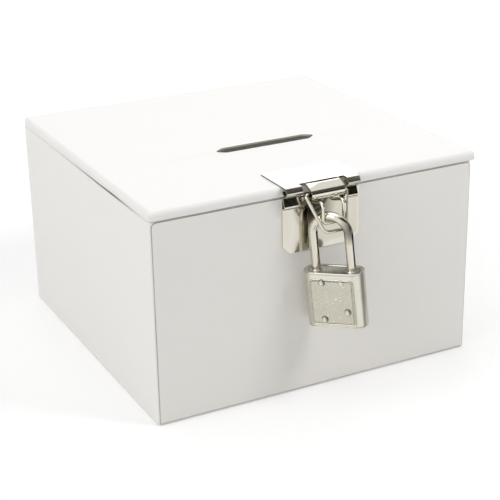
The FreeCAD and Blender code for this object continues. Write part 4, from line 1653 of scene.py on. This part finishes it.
    def top_plate(self) -> Piece:
        """Plate with a rim, a sunk middle and a collar round each leg of the shackle.

        Returns:
            The plate on top of the case.
        """
        floor = -self.rim_drop
        profile = [(0, -self.plate), (-self.rim, -self.plate)]
        profile += arc((self.edge - self.rim, -self.edge), self.edge, 180, 90, self.edge_steps)
        profile += arc((self.rim_width - self.edge, -self.edge), self.edge, 90, 0, self.edge_steps)
        profile += [(self.rim_width, floor), (self.rim_width + self.bead, floor)]
        skin = Skin()
        skin.solid(self.oval(inset, z) for inset, z in profile)
        piece = skin.piece("lock_cap")
        bore = self.wire / 2 + self.play
        for x in self.legs():
            foot = Vector((x, 0, self.top() + floor - self.edge))
            head = Vector((x, 0, self.top() + floor + self.collar_height))
            carve(piece, [round_tool(foot, head, bore + self.collar)], Carve.JOIN)
        up = Vector((0, 0, self.plate * 2))
        carve(piece, [round_tool(Vector((x, 0, self.top())) - up, Vector((x, 0, self.top())) + up, bore)
                      for x in self.legs()])
        ease_edges(piece, self.fine_edge)
        piece.data.transform(self.hung())
        return piece

    def bottom_plate(self) -> Piece:
        """Plate under the case with a rounded lower edge and a hole for the plug.

        Returns:
            The plate.
        """
        low, high = -self.height, self.plate - self.height
        bend = self.base_round
        lower_edge = arc((bend, low + bend), bend, 180, 270, self.base_steps)
        profile = [(0, high), *lower_edge, (self.rim_width, low)]
        skin = Skin()
        skin.solid(self.oval(inset, z) for inset, z in profile)
        piece = skin.piece("lock_base")
        middle = Vector((self.plug_offset, 0, self.top() - self.height))
        up = Vector((0, 0, self.plate * 2))
        carve(piece, [round_tool(middle - up, middle + up, self.plug)])
        ease_edges(piece, self.fine_edge)
        piece.data.transform(self.hung())
        return piece

    def face(self, side: Side) -> Piece:
        """Face plate with a raised bead round a pebbled field.

        Args:
            side: The face of the padlock.

        Returns:
            The face plate.
        """
        half = self.width / 2 - self.face_margin
        low = self.top() + self.plate - self.height + self.face_foot
        high = self.top() - self.plate - self.face_border
        seat = side.value * self.thickness / 2
        profile = [(0, -self.bead_height), (0, 0)]
        profile += [(self.bead / 2 * (1 - x), z * self.bead_height)
                    for x, z in arc((0, 0), 1.0, 0, 180, self.bead_steps)]
        inner = self.bead + self.groove
        profile += [(inner, 0), (inner + self.edge / 2, self.face_floor)]
        depth = min(half, (high - low) / 2) - inner - self.edge
        profile += [(inner + self.edge + depth * step / self.field_rings, self.face_floor)
                    for step in range(self.field_rings)]
        skin = Skin()
        rings = []
        for inset, rise in profile:
            outline = rectangle((-half, low), (half, high), inset, self.face_corner, self.field_steps)
            rings.append([(x, seat + side.value * rise, z) for x, z in outline])
        skin.solid(rings)
        piece = skin.piece("lock_face_" + side.name.lower())
        count = len(rings[0])
        border = count * (len(profile) - self.field_rings)
        store(piece, FIELD_MARK, [float(index >= border) for index in range(count * len(rings))])
        run_tree(piece, self.shop.pebbles.tree, {
            "Pebble Size": self.pebble_size, "Pebble Height": self.pebble_height, "Seed": self.pebble_seed,
            "Finish": self.shop.material(PEBBLED_NICKEL)})
        piece.data.transform(self.hung())
        return piece

    def rivets(self) -> Piece:
        """Domed and low rivet heads on both faces.

        Returns:
            All the heads in one mesh.
        """
        seat = self.thickness / 2 + self.face_floor - self.play
        flush = self.flush_rivets
        groups = [(self.dome_rivets, Side.FRONT, self.rivet_dome), (flush, Side.FRONT, self.rivet_flush),
                  (self.dome_rivets + flush, Side.REAR, self.rivet_rear)]
        mesh = bmesh.new()
        for places, side, rise in groups:
            data = bpy.data.meshes.new("rivet_places")
            data.from_pydata([(x * MM, side.value * seat, self.top() + z * MM) for x, z in places], [], [])
            heads = linked("rivet_heads", data)
            run_tree(heads, self.shop.rivets.tree, {
                "Head Radius": self.rivet_head, "Head Height": rise,
                "Head Turn": (-side.value * math.pi / 2, 0.0, 0.0),
                "Unshaded Spot": (self.rivet_spot[0], -side.value * self.rivet_spot[1], 0.0),
                "Unshaded Reach": self.rivet_unshaded, "Painted Shade Reach": self.rivet_painted_shade,
                "Finish": self.shop.material(RIVET_NICKEL)})
            mesh.from_mesh(heads.data)
            bpy.data.objects.remove(heads)
        data = bpy.data.meshes.new("lock_rivet_heads")
        mesh.to_mesh(data)
        mesh.free()
        data.transform(self.hung())
        return shown("lock_rivet_heads", data)


# Stage


@dataclass(frozen=True)
class Lamp:
    """Soft square lamp."""

    name: str
    place: Spot
    target: Spot
    size: float
    power: float
    mirrored: bool = True

    def hang(self) -> None:
        """Hang the lamp and point it at its target."""
        light = bpy.data.lights.new(self.name, "AREA")
        light.size = self.size
        light.energy = self.power
        lamp = linked(self.name, light)
        lamp.location = self.place
        lamp.visible_glossy = self.mirrored
        lamp.rotation_euler = (Vector(self.target) - Vector(self.place)).to_track_quat("-Z", "Y").to_euler()


LAMPS = (Lamp("overhead", (-0.3, 0.2, 1.5), (0.0, 0.0, 0.1), size=1.5, power=8.3),
         Lamp("left_fill", (-1.5, -0.3, 0.7), (0.0, 0.0, 0.06), size=1.2, power=7.8),
         Lamp("back_panel", (0.8, 1.6, 0.9), (0.0, 0.0, 0.12), size=1.3, power=5.0),
         Lamp("front_right", (0.66, -0.68, 0.88), (0.0, -0.1, 0.06), size=0.35, power=4.6, mirrored=False))


@dataclass
class Studio:
    """Pale floor, soft lamps, dark screens for the metal to mirror, and the camera."""

    floor_reach: float = 4.0
    floor_drop: float = 0.2 * MM
    floor_paint: Colour = (0.8, 0.8, 0.8)
    glow_near: float = 0.23
    glow_far: float = 0.75
    glow_start: float = 0.2
    glow_end: float = 2.0
    room_light: float = 0.42
    screen_reach: float = 1.4
    screen_steps: int = 10
    screen_tint: Colour = (1.0, 0.97, 0.9)
    screen_dark: float = 0.006
    screen_pale: float = 0.08
    screen_fade: tuple[float, float] = (0.45, 0.55)
    # Each patch as its left, right, lower and upper angle in degrees
    screen_patches: tuple[tuple[float, float, float, float], ...] = ((20, 36, 8, 38), (52, 80, 8, 38),
                                                                     (-30, 80, 38, 62))
    flag_middle: Spot = (0.0, -0.115, -0.1 * MM)
    # Each wedge as its left and right angle in degrees and its near and far reach
    flag_wedges: tuple[tuple[float, float, float, float], ...] = ((43, 62, 0.07, 0.18), (43, 97, 0.18, 0.6),
                                                                  (-33, -20, 0.09, 0.165))
    eye: Spot = (-0.3434, -0.6932, 0.3625)
    azimuth: float = -26.86
    elevation: float = 22.16
    roll: float = -1.09
    lens: float = 96.744
    sensor: float = 36.0

    def build(self) -> None:
        """Set up the stage."""
        self.floor()
        self.screen()
        self.flags()
        self.world()
        for lamp in LAMPS:
            lamp.hang()
        self.camera()

    def floor(self) -> None:
        """Wide pale floor that keeps the object's shadow."""
        skin = Skin()
        skin.mesh.faces.new(skin.ring([(x * self.floor_reach, y * self.floor_reach, -self.floor_drop)
                                       for x, y in CORNER_SIGNS]))
        piece = skin.piece("floor")
        material, bench = blank_material("pale_floor")
        seen = self.seen_rays(bench)
        place = bench.add("ShaderNodeTexCoord").outputs["Object"]
        away = bench.add("ShaderNodeVectorMath", {0: place}, operation="LENGTH")
        level = bench.add("ShaderNodeMapRange", {"Value": away.outputs["Value"], "From Min": self.glow_start,
                                                 "From Max": self.glow_end, "To Min": self.glow_near,
                                                 "To Max": self.glow_far})
        strength = bench.sum("MULTIPLY", seen, level.outputs[0])
        paint = bench.add("ShaderNodeBsdfDiffuse", {"Color": (*self.floor_paint, 1.0)})
        glow = bench.add("ShaderNodeEmission", {"Color": WHITE, "Strength": strength})
        both = bench.add("ShaderNodeAddShader", {0: paint.outputs[0], 1: glow.outputs[0]})
        bench.add("ShaderNodeOutputMaterial", {"Surface": both.outputs[0]})
        piece.data.materials.append(material)

    @staticmethod
    def seen_rays(bench: Bench) -> Socket:
        """Tell the rays of the camera, mirrors and glass from the rest.

        Args:
            bench: Where the nodes go.

        Returns:
            1 for these rays and 0 for the rest.
        """
        path = bench.add("ShaderNodeLightPath")
        mirrored = bench.sum("MAXIMUM", path.outputs["Is Glossy Ray"], path.outputs["Is Transmission Ray"])
        return bench.sum("MAXIMUM", path.outputs["Is Camera Ray"], mirrored)

    def screen(self) -> None:
        """Dark curved patches in front of the object that only mirrors see."""
        shares = [step / self.screen_steps for step in range(self.screen_steps + 1)]
        for left, right, low, high in self.screen_patches:
            skin = Skin()
            rows = []
            turns = [math.radians(left + (right - left) * share) for share in shares]
            for above in (math.radians(low + (high - low) * share) for share in shares):
                reach, z = self.screen_reach * math.cos(above), self.screen_reach * math.sin(above)
                row = [(reach * math.sin(turn), -reach * math.cos(turn), z) for turn in turns]
                rows.append(skin.ring(row))
            for lower, upper in zip(rows, rows[1:]):
                for index in range(self.screen_steps):
                    skin.mesh.faces.new((lower[index], lower[index + 1], upper[index + 1], upper[index]))
            self.only_mirrored(skin.piece("dark_screen"))

    def flags(self) -> None:
        """Dark wedges on the floor that only mirrors see, fanned out from the padlock."""
        middle = Vector(self.flag_middle)
        for left, right, near, far in self.flag_wedges:
            skin = Skin()
            turns = (math.radians(left), math.radians(right))
            first, second = [Vector((math.sin(turn), -math.cos(turn), 0)) for turn in turns]
            corners = [first * near, second * near, second * far, first * far]
            skin.mesh.faces.new(skin.ring([middle + corner for corner in corners]))
            self.only_mirrored(skin.piece("dark_flag"))

    def only_mirrored(self, piece: Piece) -> None:
        """Make a piece of the stage dark, a little lighter above, and show it to mirrors alone.

        Args:
            piece: The screen or flag.
        """
        material, bench = blank_material(piece.name)
        place = bench.add("ShaderNodeTexCoord").outputs["Object"]
        height = bench.add("ShaderNodeSeparateXYZ", {0: place}).outputs["Z"]
        start, end = [self.screen_reach * share for share in self.screen_fade]
        level = bench.add("ShaderNodeMapRange", {"Value": height, "From Min": start, "From Max": end,
                                                 "To Min": self.screen_dark, "To Max": self.screen_pale})
        glow = bench.add("ShaderNodeEmission", {"Color": (*self.screen_tint, 1.0),
                                                "Strength": level.outputs[0]})
        bench.add("ShaderNodeOutputMaterial", {"Surface": glow.outputs[0]})
        piece.data.materials.append(material)
        piece.visible_camera = False
        piece.visible_diffuse = False
        piece.visible_shadow = False
        piece.visible_transmission = False

    def world(self) -> None:
        """White surroundings, dimmer as light than as seen."""
        world = bpy.data.worlds.new("white_room")
        world.use_nodes = True
        world.node_tree.nodes.clear()
        bench = Bench(world.node_tree)
        strength = bench.sum("MAXIMUM", self.seen_rays(bench), self.room_light)
        sky = bench.add("ShaderNodeBackground", {"Color": WHITE, "Strength": strength})
        bench.add("ShaderNodeOutputWorld", {"Surface": sky.outputs[0]})
        bpy.context.scene.world = world

    def camera(self) -> None:
        """Camera at the photograph's place."""
        data = bpy.data.cameras.new("camera")
        data.lens = self.lens
        data.sensor_width = self.sensor
        camera = linked("camera", data)
        around, above = math.radians(self.azimuth), math.radians(self.elevation)
        level = math.cos(above)
        back = Vector((math.sin(around) * level, -math.cos(around) * level, math.sin(above)))
        turn = (-back).to_track_quat("-Z", "Y").to_matrix().to_4x4()
        tilt = Matrix.Rotation(math.radians(self.roll), 4, "Z")
        camera.matrix_world = Matrix.Translation(self.eye) @ turn @ tilt
        bpy.context.scene.camera = camera


def main() -> None:
    """Build the object and its stage."""
    logging.basicConfig(level=logging.INFO, format="%(message)s")
    bpy.context.scene.view_settings.view_transform = "Standard"
    shop = FinishShop()
    slot = MoneySlot(shop)
    PaperBox(shop).build()
    PaperLid(shop).build(slot)
    slot.build()
    ClothHinge(shop).build()
    Hasp(shop).build()
    Padlock(shop).build()
    Studio().build()


if __name__ == "__main__":
    main()
